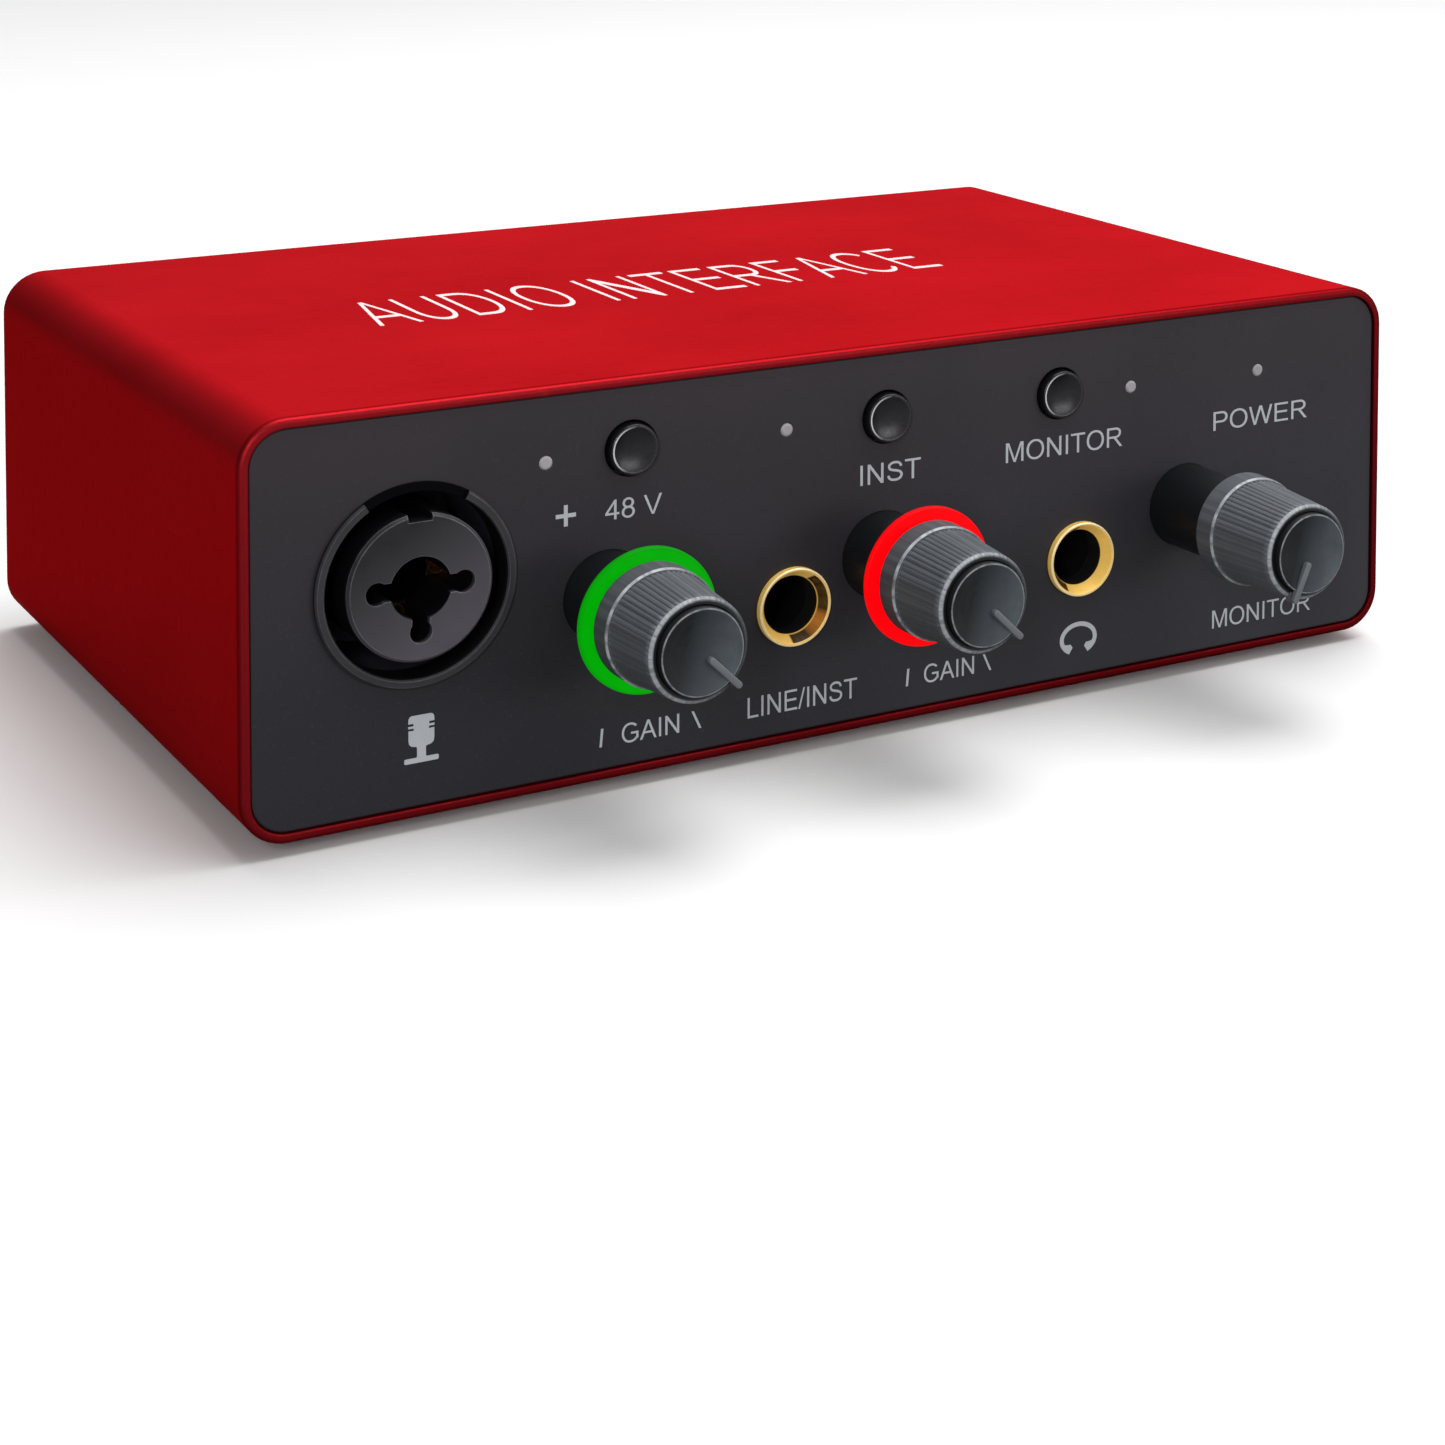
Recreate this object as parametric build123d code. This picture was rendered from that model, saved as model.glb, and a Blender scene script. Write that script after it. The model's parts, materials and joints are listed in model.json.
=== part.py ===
from build123d import *
import math
import os

# Desktop two-input USB audio interface: an extruded aluminium sleeve closed by a fascia in
# front and a metal panel behind, with a combo microphone socket, two quarter-inch sockets,
# three rotary controls and three push buttons on the front.
#
# Frame: +X right as seen from the front, +Y to the rear, +Z up, millimetres.
# Origin: centre of the overall footprint, on the plane the feet stand on.
#
# Dimensions below are in panel coordinates: x from the sleeve's left side, y behind its
# front rim, z above its underside. A centre is an (x, z) pair.

# ---------------------------------------------------------------- driving dimensions
WIDTH, DEPTH, HEIGHT = 143.5, 96.0, 43.5     # sleeve
FOOT_H = 1.2         # feet stand this far below the sleeve
CORNER_R = 4.9       # outer corner radius of the extrusion
WALL = 1.8           # sleeve wall
LIP = 1.0            # wall left beside the front and rear panels
PANEL_GAP = 0.12     # gap round the panels
RIM_R = 0.5          # edge round on the sleeve's two rims

MONITOR_PROUD = 26.0     # monitor knob pointer in front of the front rim
GAIN_PROUD = 23.8        # gain knob pointer in front of the front rim
REAR_PROUD = 1.9         # rear socket nuts behind the rear rim
RIM_Y = (MONITOR_PROUD - DEPTH - REAR_PROUD) / 2     # front rim in the frame

FASCIA_Y0, FASCIA_Y1 = 0.3, 1.6
SUB_Y0, SUB_Y1 = FASCIA_Y1, 3.1                  # subframe behind the fascia
REAR_Y0, REAR_Y1 = DEPTH - 2.2, DEPTH - 0.2      # rear panel
PCB_Z0, PCB_Z1 = 8.0, 9.6                        # main board
SEAT_Z = PCB_Z1 + 0.1                            # underside of what stands over the board
CONTROL_Y0, CONTROL_Y1 = 9.0, 10.6               # upright control board

# centres on the front
COMBO = (18.25, 24.5)
GAINS = {"gain_left": (39.35, 20.0), "gain_right": (72.6, 19.55)}
MONITOR = (114.0, 19.5)
FRONT_JACKS = {"line_jack": (61.4, 15.4), "phones_jack": (99.05, 15.15)}
BUTTONS = {"phantom": (42.15, 35.65), "inst": (73.15, 35.25), "monitor": (96.1, 35.2)}
LEDS = [(32.45, 35.3), (60.65, 35.3), (106.15, 34.8), (124.7, 34.7)]
# centres on the rear
OUTPUT_JACKS = {"output_left_jack": (96.0, 17.0), "output_right_jack": (121.0, 17.0)}
USB = (27.0, 11.25)
# panel screws, in ports in the four corners of the sleeve
PORT_X, PORT_Z = 5.0, 4.6
PORTS = [(x, z) for x in (PORT_X, WIDTH - PORT_X) for z in (PORT_Z, HEIGHT - PORT_Z)]

COLLAR_R, COLLAR_BORE = 4.95, 4.4    # radii of the collar round a control
BUTTON_R, BUTTON_HOLE_R = 2.8, 3.1
LED_R = 0.75
SHAFT_R = 3.0
SHAFT_FLAT = 2.25    # flat on a shaft, from its axis

parts = {}


# ---------------------------------------------------------------- helpers
def place(x, y, z):
    """Location in the frame of a point in panel coordinates."""
    return Pos(x - WIDTH / 2, RIM_Y + y, z + FOOT_H)


def y_cylinder(centre, radius, y0, y1):
    x, z = centre
    return place(x, (y0 + y1) / 2, z) * Rot(90, 0, 0) * Cylinder(radius, y1 - y0)


def z_cylinder(x, y, radius, z0, z1):
    return place(x, y, (z0 + z1) / 2) * Cylinder(radius, z1 - z0)


def block(x0, x1, y0, y1, z0, z1):
    """Box between limits, each pair in either order."""
    box = Box(abs(x1 - x0), abs(y1 - y0), abs(z1 - z0))
    return place((x0 + x1) / 2, (y0 + y1) / 2, (z0 + z1) / 2) * box


def bar(centre, half_x, half_z, y0, y1):
    """Box along Y with its section centred on centre."""
    x, z = centre
    return block(x - half_x, x + half_x, y0, y1, z - half_z, z + half_z)


def round_along(shape, axis, radius):
    """Round the edges parallel to axis."""
    return fillet(shape.edges().filter_by(axis), radius)


def slab(inset, y0, y1):
    """The sleeve's rounded outline drawn in by inset, from y0 to y1."""
    plate = block(inset, WIDTH - inset, y0, y1, inset, HEIGHT - inset)
    return round_along(plate, Axis.Y, CORNER_R - inset)


def edges_at_y(shape, *stations):
    return shape.edges().filter_by(
        lambda edge: any(abs(edge.center().Y - RIM_Y - y) < 0.01 for y in stations)
    )


def revolved(profile):
    """Solid of revolution about Y. profile: (radius, y)."""
    return revolve(make_face(Polyline(*profile, close=True)), Axis.Y, 360)


def turned(centre, profile):
    x, z = centre
    return place(x, 0, z) * revolved(profile)


def group(shapes):
    return Compound([solid for shape in shapes for solid in shape.solids()])


def one(shape):
    """The shape's only solid."""
    solids = shape.solids()
    assert len(solids) == 1, len(solids)
    return solids[0]


# ---------------------------------------------------------------- sleeve
def make_shell():
    port_r, port_bore = 2.7, 1.25
    rail_reach, rail_h = 2.3, 1.3
    rail_root = 0.3      # rails and wall overlap
    outer = slab(0, 0, DEPTH)
    outer = fillet(edges_at_y(outer, 0, DEPTH), RIM_R)
    body = outer - slab(WALL, -1, DEPTH + 1)
    # rails the main board slides in, below and above it
    for z in (PCB_Z0 - 1.5, PCB_Z1 + 0.15):
        for wall_x, side in ((WALL, 1), (WIDTH - WALL, -1)):
            body += block(wall_x - side * rail_root, wall_x + side * rail_reach,
                          3.4, DEPTH - 3.0, z, z + rail_h)
    # screw ports, each joined to the walls by a corner block
    for x, z in PORTS:
        body += y_cylinder((x, z), port_r, SUB_Y1, REAR_Y0)
        side_x = -1 if x < WIDTH / 2 else 1
        side_z = -1 if z < HEIGHT / 2 else 1
        body += block(x, x + side_x * 3.6, SUB_Y1, REAR_Y0, z, z + side_z * port_r)
    # trim the corner blocks to the outline
    body = body & slab(0, -1, DEPTH + 1)
    for port in PORTS:
        body -= y_cylinder(port, port_bore, SUB_Y1 - 1, REAR_Y0 + 1)
    # rebates for the two panels
    body -= slab(LIP, -1, SUB_Y1)
    body -= slab(LIP, REAR_Y0, DEPTH + 1)
    return one(body)


parts["shell"] = make_shell()


# ---------------------------------------------------------------- panels and screws
def cut_openings(panel, fit):
    """Cut the openings shared by fascia and subframe; fit widens them."""
    openings = [(COMBO, 10.32)]
    openings += [(centre, COLLAR_R + 0.05) for centre in (*GAINS.values(), MONITOR)]
    openings += [(centre, 4.08) for centre in FRONT_JACKS.values()]
    openings += [(centre, BUTTON_HOLE_R) for centre in BUTTONS.values()]
    openings += [(centre, LED_R + 0.04) for centre in LEDS]
    for centre, radius in openings:
        panel -= y_cylinder(centre, radius + fit, -2, 6)
    return panel


def countersunk_hole(centre, y_head, y_end, mouth_r, depth):
    """Tool for a countersunk hole from y_head through to y_end."""
    hole_r, over = 1.35, 0.01
    inward = 1 if y_end > y_head else -1
    y_start, y_stop = y_head - inward * over, y_end + inward * over
    return turned(centre, [(0, y_start), (mouth_r, y_start), (hole_r, y_head + inward * depth),
                           (hole_r, y_stop), (0, y_stop)])


def screw(centre, y_head, y_tip, head_r, head_h):
    """Countersunk screw along Y, with a cross recess."""
    shank_r, arm, half_slot = 1.2, 1.2, 0.3
    inward = 1 if y_tip > y_head else -1
    body = turned(centre, [(0, y_head), (head_r, y_head), (shank_r, y_head + inward * head_h),
                           (shank_r, y_tip), (0, y_tip)])
    recess = (y_head - inward * 0.5, y_head + inward * 0.75)
    body -= bar(centre, half_slot, arm, *recess)
    body -= bar(centre, arm, half_slot, *recess)
    return body


def make_fascia():
    panel = slab(LIP + PANEL_GAP, FASCIA_Y0, FASCIA_Y1)
    panel = fillet(edges_at_y(panel, FASCIA_Y0), 0.25)
    return one(cut_openings(panel, 0.0))


def make_subframe():
    panel = cut_openings(slab(LIP + PANEL_GAP, SUB_Y0, SUB_Y1), 0.15)
    for port in PORTS:
        panel -= countersunk_hole(port, SUB_Y0, SUB_Y1, 2.4, 1.04)
    return one(panel)


def make_rear_panel():
    through = (DEPTH - 5, DEPTH + 2)
    panel = slab(LIP + PANEL_GAP, REAR_Y0, REAR_Y1)
    panel = fillet(edges_at_y(panel, REAR_Y1), 0.3)
    for centre in OUTPUT_JACKS.values():
        panel -= y_cylinder(centre, 4.75, *through)
    panel -= round_along(bar(USB, 4.75, 1.85, *through), Axis.Y, 1.8)
    lock_slot = block(49.0, 56.0, *through, 15.2, 18.2)
    panel -= round_along(lock_slot, Axis.Y, 0.8)
    for port in PORTS:
        panel -= countersunk_hole(port, REAR_Y1, REAR_Y0, 2.5, 1.14)
    return one(panel)


def make_feet():
    radius, inset_x, inset_y = 5.5, 14.0, 12.0
    feet = []
    for x in (inset_x, WIDTH - inset_x):
        for y in (inset_y, DEPTH - inset_y):
            foot = z_cylinder(x, y, radius, -FOOT_H, 0)
            feet.append(fillet(foot.edges().group_by(Axis.Z)[0], 0.4))
    return group(feet)


parts["front_panel"] = make_fascia()
parts["front_subframe"] = make_subframe()
parts["front_subframe_screws"] = group(
    [screw(port, SUB_Y0 + 0.05, 12.0, 2.25, 1.05) for port in PORTS])
parts["rear_panel"] = make_rear_panel()
parts["rear_panel_screws"] = group(
    [screw(port, REAR_Y1 - 0.05, DEPTH - 12.0, 2.35, 1.1) for port in PORTS])
parts["rubber_feet"] = make_feet()

# ---------------------------------------------------------------- boards
JACK_W = 10.6        # quarter-inch socket body width


def make_main_board():
    side = WALL + 0.25
    board = block(side, WIDTH - side, 4.2, DEPTH - 3.0, PCB_Z0, PCB_Z1)
    return one(round_along(board, Axis.Z, 1.0))


def make_control_board():
    board = block(32.0, WIDTH - 9.0, CONTROL_Y0, CONTROL_Y1, SEAT_Z, 40.0)
    board = round_along(board, Axis.Y, 1.0)
    # clearance for the two front socket bodies
    half = JACK_W / 2 + 0.3
    for x, _ in FRONT_JACKS.values():
        board -= block(x - half, x + half, CONTROL_Y0 - 1, CONTROL_Y1 + 1, 7.0, 23.4)
    return one(board)


parts["main_board"] = make_main_board()
parts["control_board"] = make_control_board()
# pin header joining the two boards, behind the control board
parts["board_header"] = one(
    block(76.0, 89.0, CONTROL_Y1, CONTROL_Y1 + 2.5, PCB_Z1, PCB_Z1 + 5.0))

# ---------------------------------------------------------------- combo microphone socket
JACK_R = 3.25            # quarter-inch socket bore
INSERT_Y0 = -1.2         # front of the insert
PIN_PITCH_R = 4.6        # keyholes' distance from the centre
# keyholes to the right, left and below: x and z direction,
# then the slot's reach to left, right, down and up
KEYHOLES = [
    (1, 0, 1.4, 1.4, 0.95, 0.95),
    (-1, 0, 1.4, 1.4, 0.95, 0.95),
    (0, -1, 0.95, 0.95, 1.4, 1.2),
]


def make_combo_flange():
    """Ring in front of the fascia with a sleeve behind, notched at the top."""
    flange = turned(COMBO, [
        (9.75, -0.25), (9.92, -0.45), (10.55, -0.45), (10.75, -0.2),
        (10.75, 0.28), (10.27, 0.28), (10.27, 3.6), (9.75, 3.6),
    ])
    spread, steps, reach = 62, 8, 12.5       # the notch's fan: degrees, segments, radius
    fan = [(0, 0)]
    for k in range(steps + 1):
        angle = math.radians(90 - spread / 2 + spread * k / steps)
        fan.append((reach * math.cos(angle), reach * math.sin(angle)))
    wedge = Rot(90, 0, 0) * extrude(make_face(Polyline(*fan, close=True)), 2.0)
    wedge = place(COMBO[0], 0.6, COMBO[1]) * wedge
    notch = wedge - y_cylinder(COMBO, 9.0, -3, 5)
    return one(flange - (notch & y_cylinder(COMBO, 11.5, -2, 0.05)))


def make_combo_housing():
    x, z = COMBO
    half = 12.2
    housing = block(x - half, x + half, 3.7, 28.0, PCB_Z1, z + half)
    housing = round_along(housing, Axis.Y, 1.2)
    housing -= y_cylinder(COMBO, 9.85, 3.0, 16.0)
    housing -= y_cylinder(COMBO, 7.3, 15.0, 26.0)
    return one(housing)


def pin_centre(dir_x, dir_z, radius=PIN_PITCH_R):
    return COMBO[0] + radius * dir_x, COMBO[1] + radius * dir_z


def make_combo_insert():
    x, z = COMBO
    insert = turned(COMBO, [
        (0, INSERT_Y0), (7.45, INSERT_Y0), (7.75, INSERT_Y0 + 0.3), (7.75, 16.0),
        (7.25, 16.0), (7.25, 24.0), (0, 24.0),
    ])
    insert -= y_cylinder(COMBO, JACK_R, -2, 25)
    for dir_x, dir_z, left, right, down, up in KEYHOLES:
        insert -= y_cylinder(pin_centre(dir_x, dir_z), 1.2, -2, 9.0)
        slot_x, slot_z = pin_centre(dir_x, dir_z, 3.2)
        insert -= block(slot_x - left, slot_x + right, -2, 6.0, slot_z - down, slot_z + up)
    # groove along the top
    insert -= block(x - 1.3, x + 1.3, -2, 16.5, z + 6.9, z + 9)
    return one(insert)


def combo_contact(centre):
    """Cup at the bottom of a keyhole, open to the front."""
    return y_cylinder(centre, 1.13, 6.6, 8.9) - y_cylinder(centre, 0.85, 6.0, 8.3)


parts["combo_flange"] = make_combo_flange()
parts["combo_housing"] = make_combo_housing()
parts["combo_insert"] = make_combo_insert()
parts["combo_contacts"] = group([combo_contact(pin_centre(*row[:2])) for row in KEYHOLES])

# ---------------------------------------------------------------- quarter-inch sockets
JACK_RING_R = 4.4                                # gold socket ring
FRONT_JACK_Y = (3.3, 28.0)                       # front socket bodies
REAR_JACK_Y = (DEPTH - 27.0, REAR_Y0 - 0.1)      # rear socket bodies


def jack_ring(centre):
    ring_in, back = 4.03, FRONT_JACK_Y[0]
    return one(turned(centre, [
        (JACK_R, 0.9), (4.05, -0.5), (4.25, -0.6), (JACK_RING_R, -0.45),
        (JACK_RING_R, 0.28), (ring_in, 0.28), (ring_in, back), (JACK_R, back),
    ]))


def jack_body(centre, y0, y1, opens_front):
    x, z = centre
    end_wall = 2.0
    body = block(x - JACK_W / 2, x + JACK_W / 2, y0, y1, PCB_Z1, z + 7.4)
    body = round_along(body, Axis.Y, 0.8)
    if opens_front:
        body -= y_cylinder(centre, JACK_R, y0 - 1, y1 - end_wall)
    else:
        body -= y_cylinder(centre, JACK_R, y0 + end_wall, y1 + 1)
    # slots for the contact springs, either side of the bore
    for side in (-1, 1):
        body -= block(x + side * 3.45, x + side * 4.75, y0 + 4.0, y1 - 4.0, z - 2.0, z + 9)
    return one(body)


def output_jack_body(centre):
    """Rear socket body with a round neck through the rear panel."""
    y0, y1 = REAR_JACK_Y
    body = jack_body(centre, y0, y1, opens_front=False)
    neck = y_cylinder(centre, 4.6, y1 - 0.2, REAR_Y1 + 1.7)
    body += neck - y_cylinder(centre, JACK_R, y1 - 1, DEPTH + 4)
    return one(body)


def jack_springs(centres, y0, y1):
    """A leaf each side of every bore, with an upright tail near its rear end."""
    springs = []
    for x, z in centres:
        for side in (-1, 1):
            inner_x = x + side * 3.6
            leaf = block(inner_x, x + side * 4.0, y0 + 4.4, y1 - 4.4, z - 1.6, z + 1.6)
            leaf += block(inner_x, x + side * 4.6, y1 - 5.6, y1 - 5.0, z - 1.6, z + 6.6)
            springs.append(one(leaf))
    return group(springs)


def output_nut(centre):
    """Hexagonal nut with its corners chamfered."""
    x, z = centre
    back = DEPTH + REAR_PROUD
    hexagon = place(x, back, z) * Rot(90, 0, 0) * extrude(RegularPolygon(7.0, 6), 2.0)
    envelope = turned(centre, [
        (0, REAR_Y1), (6.2, REAR_Y1), (7.2, REAR_Y1 + 0.6),
        (7.2, DEPTH + 1.3), (6.3, back), (0, back),
    ])
    return one((hexagon & envelope) - y_cylinder(centre, 4.65, DEPTH - 3, DEPTH + 4))


for name, centre in FRONT_JACKS.items():
    parts[name + "_ring"] = jack_ring(centre)
    parts[name + "_body"] = jack_body(centre, *FRONT_JACK_Y, opens_front=True)
parts["front_jack_springs"] = jack_springs(FRONT_JACKS.values(), *FRONT_JACK_Y)
for name, centre in OUTPUT_JACKS.items():
    parts[name + "_body"] = output_jack_body(centre)
parts["rear_jack_springs"] = jack_springs(OUTPUT_JACKS.values(), *REAR_JACK_Y)
parts["output_jack_nuts"] = group([output_nut(centre) for centre in OUTPUT_JACKS.values()])


# ---------------------------------------------------------------- USB-C socket
def make_usb_shell():
    outer = round_along(bar(USB, 4.47, 1.58, DEPTH - 8.0, DEPTH - 0.5), Axis.Y, 1.55)
    inner = round_along(bar(USB, 4.17, 1.28, DEPTH - 9.0, DEPTH + 1), Axis.Y, 1.26)
    return one(outer - inner)


def make_usb_tongue():
    tongue = round_along(bar(USB, 3.35, 0.35, DEPTH - 7.2, DEPTH - 2.1), Axis.Z, 0.3)
    base = round_along(bar(USB, 4.1, 1.22, DEPTH - 8.0, DEPTH - 6.6), Axis.Y, 1.18)
    return one(tongue + base)


parts["usb_c_shell"] = make_usb_shell()
parts["usb_c_tongue"] = make_usb_tongue()

# ---------------------------------------------------------------- rotary controls
LIGHT_R = 7.75                       # light ring round a gain knob
LIGHT_Y0, LIGHT_Y1 = -10.5, -9.7     # its front and back faces
GUIDE_R0, GUIDE_R1 = 3.75, 4.3       # tube joining light ring and light guide
GAIN_H, MONITOR_H = 12.7, 14.2       # knob heights without the pointers
GAIN_ANGLE, MONITOR_ANGLE = 135.0, -155.0    # pointers, clockwise from up, from the front
POINTER_PROUD = 0.3                  # pointer in front of the face disc
BAND_H = 3.2                         # smooth band at a knob's foot
SKIRT_R, GRIP_R0, GRIP_R1, FACE_R = 6.4, 6.05, 5.45, 4.6
FACE_STEP = 0.9                      # face disc stands this far in front of the rim
FACE_DISH = 0.4                      # depth of the dish in it
RIBS = 64
# one rib and groove: fraction of the rib pitch, change of radius
RIB_STATIONS = [(0.0, 0.0), (0.42, 0.0), (0.58, -0.11), (0.84, -0.11)]


def collar(centre, y_front):
    return one(turned(centre, [
        (COLLAR_BORE, y_front), (COLLAR_R - 0.15, y_front), (COLLAR_R, y_front + 0.15),
        (COLLAR_R, 3.15), (5.9, 3.15), (5.9, 3.65), (COLLAR_BORE, 3.65),
    ]))


def light_ring(centre):
    bevel = 0.15
    return one(turned(centre, [
        (GUIDE_R0, LIGHT_Y0), (LIGHT_R - bevel, LIGHT_Y0), (LIGHT_R, LIGHT_Y0 + bevel),
        (LIGHT_R, LIGHT_Y1 - bevel), (LIGHT_R - bevel, LIGHT_Y1), (GUIDE_R1, LIGHT_Y1),
        (GUIDE_R1, -6.0), (GUIDE_R0, -6.0),
    ]))


def light_guide(centre):
    """Flanged tube with a tab above and below, each ending in a prong to the rear."""
    x, z = centre
    guide = turned(centre, [
        (GUIDE_R0, -5.9), (GUIDE_R1, -5.9), (GUIDE_R1, 3.7),
        (5.6, 3.7), (5.6, 4.4), (GUIDE_R0, 4.4),
    ])
    for side in (-1, 1):
        tip_z = z + side * 7.3
        guide += block(x - 1.0, x + 1.0, 3.7, 4.4, z + side * 5.2, tip_z)
        guide += block(x - 1.0, x + 1.0, 4.3, 8.1, z + side * 5.9, tip_z)
    return one(guide)


def pot(centre, y_bush):
    """Potentiometer case with a bush reaching forward to y_bush."""
    x, z = centre
    body = block(x - 4.9, x + 4.9, 4.6, 8.9, z - 5.8, z + 5.5)
    body = round_along(body, Axis.Y, 0.8)
    body += y_cylinder(centre, 3.6, y_bush, 4.7)
    body -= y_cylinder(centre, SHAFT_R + 0.05, y_bush - 1, 8.2)
    return one(body)


def clocked(centre, y, angle, radius):
    """Location at a radius from centre, its Z turned clockwise from up by angle."""
    x, z = centre
    return place(x, y, z) * Rot(0, angle, 0) * Pos(0, 0, radius)


def shaft(centre, y_tip, angle):
    rod = y_cylinder(centre, SHAFT_R, y_tip, 8.0)
    return one(rod - clocked(centre, y_tip + 3.5, angle, SHAFT_FLAT + 0.75) * Box(8, 9.0, 1.5))


def ribbed_grip(centre, r0, r1, y0, y1):
    """Ribbed grip tapering from r0 at y0 to r1 at y1."""
    def section(radius, y):
        points = []
        for k in range(RIBS):
            for fraction, step in RIB_STATIONS:
                angle = 2 * math.pi * (k + fraction) / RIBS
                r = radius + step
                points.append((r * math.cos(angle), y, r * math.sin(angle)))
        return make_face(Polyline(*points, close=True))
    return place(centre[0], 0, centre[1]) * loft([section(r0, y0), section(r1, y1)], ruled=True)


def knob_body(centre, face_y, back_y, angle):
    rim_y = face_y + FACE_STEP
    band_y = back_y - BAND_H
    skirt = turned(centre, [
        (0, back_y), (SKIRT_R - 0.15, back_y), (SKIRT_R, back_y - 0.15),
        (SKIRT_R - 0.04, band_y + 0.2), (SKIRT_R - 0.2, band_y), (0, band_y),
    ])
    grip = ribbed_grip(centre, GRIP_R0, GRIP_R1 + 0.03, band_y + 0.1, rim_y + 0.4)
    rim = turned(centre, [
        (0, rim_y + 0.45), (GRIP_R1, rim_y + 0.45), (GRIP_R1, rim_y + 0.22),
        (GRIP_R1 - 0.22, rim_y), (0, rim_y),
    ])
    body = skirt + grip + rim
    # recess for the face disc
    body -= y_cylinder(centre, FACE_R + 0.12, face_y - 1, face_y + 1.5)
    # hollow behind, leaving a hub round the shaft
    hollow = turned(centre, [
        (0, back_y + 1), (5.05, back_y + 1), (4.7, face_y + 2.4), (0, face_y + 2.4),
    ])
    hollow -= y_cylinder(centre, 4.0, face_y, back_y + 1)
    body -= hollow
    # bore with a key on the shaft's flat
    fit, bore_y = 0.03, face_y + 2.9
    bore = y_cylinder(centre, SHAFT_R + fit, bore_y, back_y + 2)
    bore -= clocked(centre, bore_y + 2.5, angle, SHAFT_FLAT + fit + 0.75) * Box(8, 5.0, 1.5)
    body -= bore
    # the hub stops short of the knob's back
    body -= y_cylinder(centre, 4.1, back_y - 1.2, back_y + 1)
    # slot in the rim for the pointer's foot
    body -= clocked(centre, face_y + 0.6, angle, 5.35) * Box(0.86, 1.6, 1.9)
    return one(body)


def knob_face(centre, face_y, angle):
    """Dished disc with a slot for the pointer."""
    back = face_y + 1.48
    face = turned(centre, [
        (0, face_y), (FACE_R - 0.14, face_y), (FACE_R, face_y + 0.12), (FACE_R, back), (0, back),
    ])
    dish_r = FACE_R - 0.3
    sphere_r = (dish_r ** 2 + FACE_DISH ** 2) / (2 * FACE_DISH)
    face -= place(centre[0], face_y + FACE_DISH - sphere_r, centre[1]) * Sphere(sphere_r)
    face -= clocked(centre, face_y, angle, 3.45) * Box(0.82, 1.0, 5.0)
    return one(face)


def knob_pointer(centre, face_y, angle):
    """Raised strip, its outer end turned back over the rim."""
    thick = 1.6
    strip = round_along(Box(0.74, thick, 4.9), Axis.Y, 0.34)
    pointer = clocked(centre, face_y - POINTER_PROUD + thick / 2, angle, 3.45) * strip
    pointer -= clocked(centre, face_y + 1.04, angle, 2.75) * Box(1.4, 1.2, 4.2)
    return one(pointer)


def add_control(name, centre, face_y, height, angle, collar_y, bush_y):
    """Collar, pot, shaft and knob; the y values are their front ends."""
    parts[name + "_collar"] = collar(centre, collar_y)
    parts[name + "_pot"] = pot(centre, bush_y)
    parts[name + "_shaft"] = shaft(centre, face_y + 3.0, angle)
    parts[name + "_knob"] = knob_body(centre, face_y, face_y + height, angle)
    parts[name + "_knob_face"] = knob_face(centre, face_y, angle)
    parts[name + "_knob_pointer"] = knob_pointer(centre, face_y, angle)


for name, centre in GAINS.items():
    add_control(name, centre, POINTER_PROUD - GAIN_PROUD, GAIN_H, GAIN_ANGLE,
                collar_y=LIGHT_Y1 + 0.05, bush_y=-9.5)
    parts[name + "_light_ring"] = light_ring(centre)
    parts[name + "_light_guide"] = light_guide(centre)
monitor_face_y = POINTER_PROUD - MONITOR_PROUD
monitor_back_y = monitor_face_y + MONITOR_H
add_control("monitor", MONITOR, monitor_face_y, MONITOR_H, MONITOR_ANGLE,
            collar_y=monitor_back_y + 0.25, bush_y=monitor_back_y + 1.0)

# ---------------------------------------------------------------- push buttons and switches
BUTTON_Y = -0.75     # foremost face of a button


def button_cap(centre):
    """Shallow-dished cap with a flange and a stem behind."""
    return one(turned(centre, [
        (0, BUTTON_Y + 0.1), (1.2, BUTTON_Y + 0.08), (2.2, BUTTON_Y), (2.55, BUTTON_Y + 0.03),
        (2.75, BUTTON_Y + 0.2), (BUTTON_R, BUTTON_Y + 0.45), (BUTTON_R, 3.25),
        (3.75, 3.25), (3.75, 3.7), (1.2, 3.7), (1.2, 6.9), (0, 6.9),
    ]))


def button_switch(centre):
    switch = round_along(bar(centre, 3.6, 3.6, 5.5, 8.95), Axis.Y, 0.5)
    return one(switch - y_cylinder(centre, 1.28, 5.0, 8.6))


for name, centre in BUTTONS.items():
    parts[name + "_button"] = button_cap(centre)
    parts[name + "_switch"] = button_switch(centre)


# ---------------------------------------------------------------- indicator lenses and lamps
def led_lens(centre):
    return turned(centre, [
        (0, 0.2), (0.55, 0.2), (LED_R, 0.35), (LED_R, 4.0), (1.3, 4.0), (1.3, 8.0), (0, 8.0),
    ])


def make_lamps():
    """A lamp behind each lens and behind each light guide prong."""
    lamp_y = (8.25, 8.98)
    lamps = [bar(centre, 0.8, 0.4, *lamp_y) for centre in LEDS]
    for x, z in GAINS.values():
        for side in (-1, 1):
            lamps.append(bar((x, z + side * 6.6), 0.8, 0.5, *lamp_y))
    return group(lamps)


parts["led_lenses"] = group([led_lens(centre) for centre in LEDS])
parts["status_leds"] = make_lamps()

# ---------------------------------------------------------------- parts on the main board
# centre x, y, size in x, size in y, height
CHIPS = [
    (36, 62, 10, 10, 1.4), (58, 58, 9, 9, 1.2), (80, 58, 5, 4, 1.5),
    (92, 58, 5, 4, 1.5), (104, 58, 5, 4, 1.5), (58, 76, 6, 5, 1.6),
]
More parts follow.
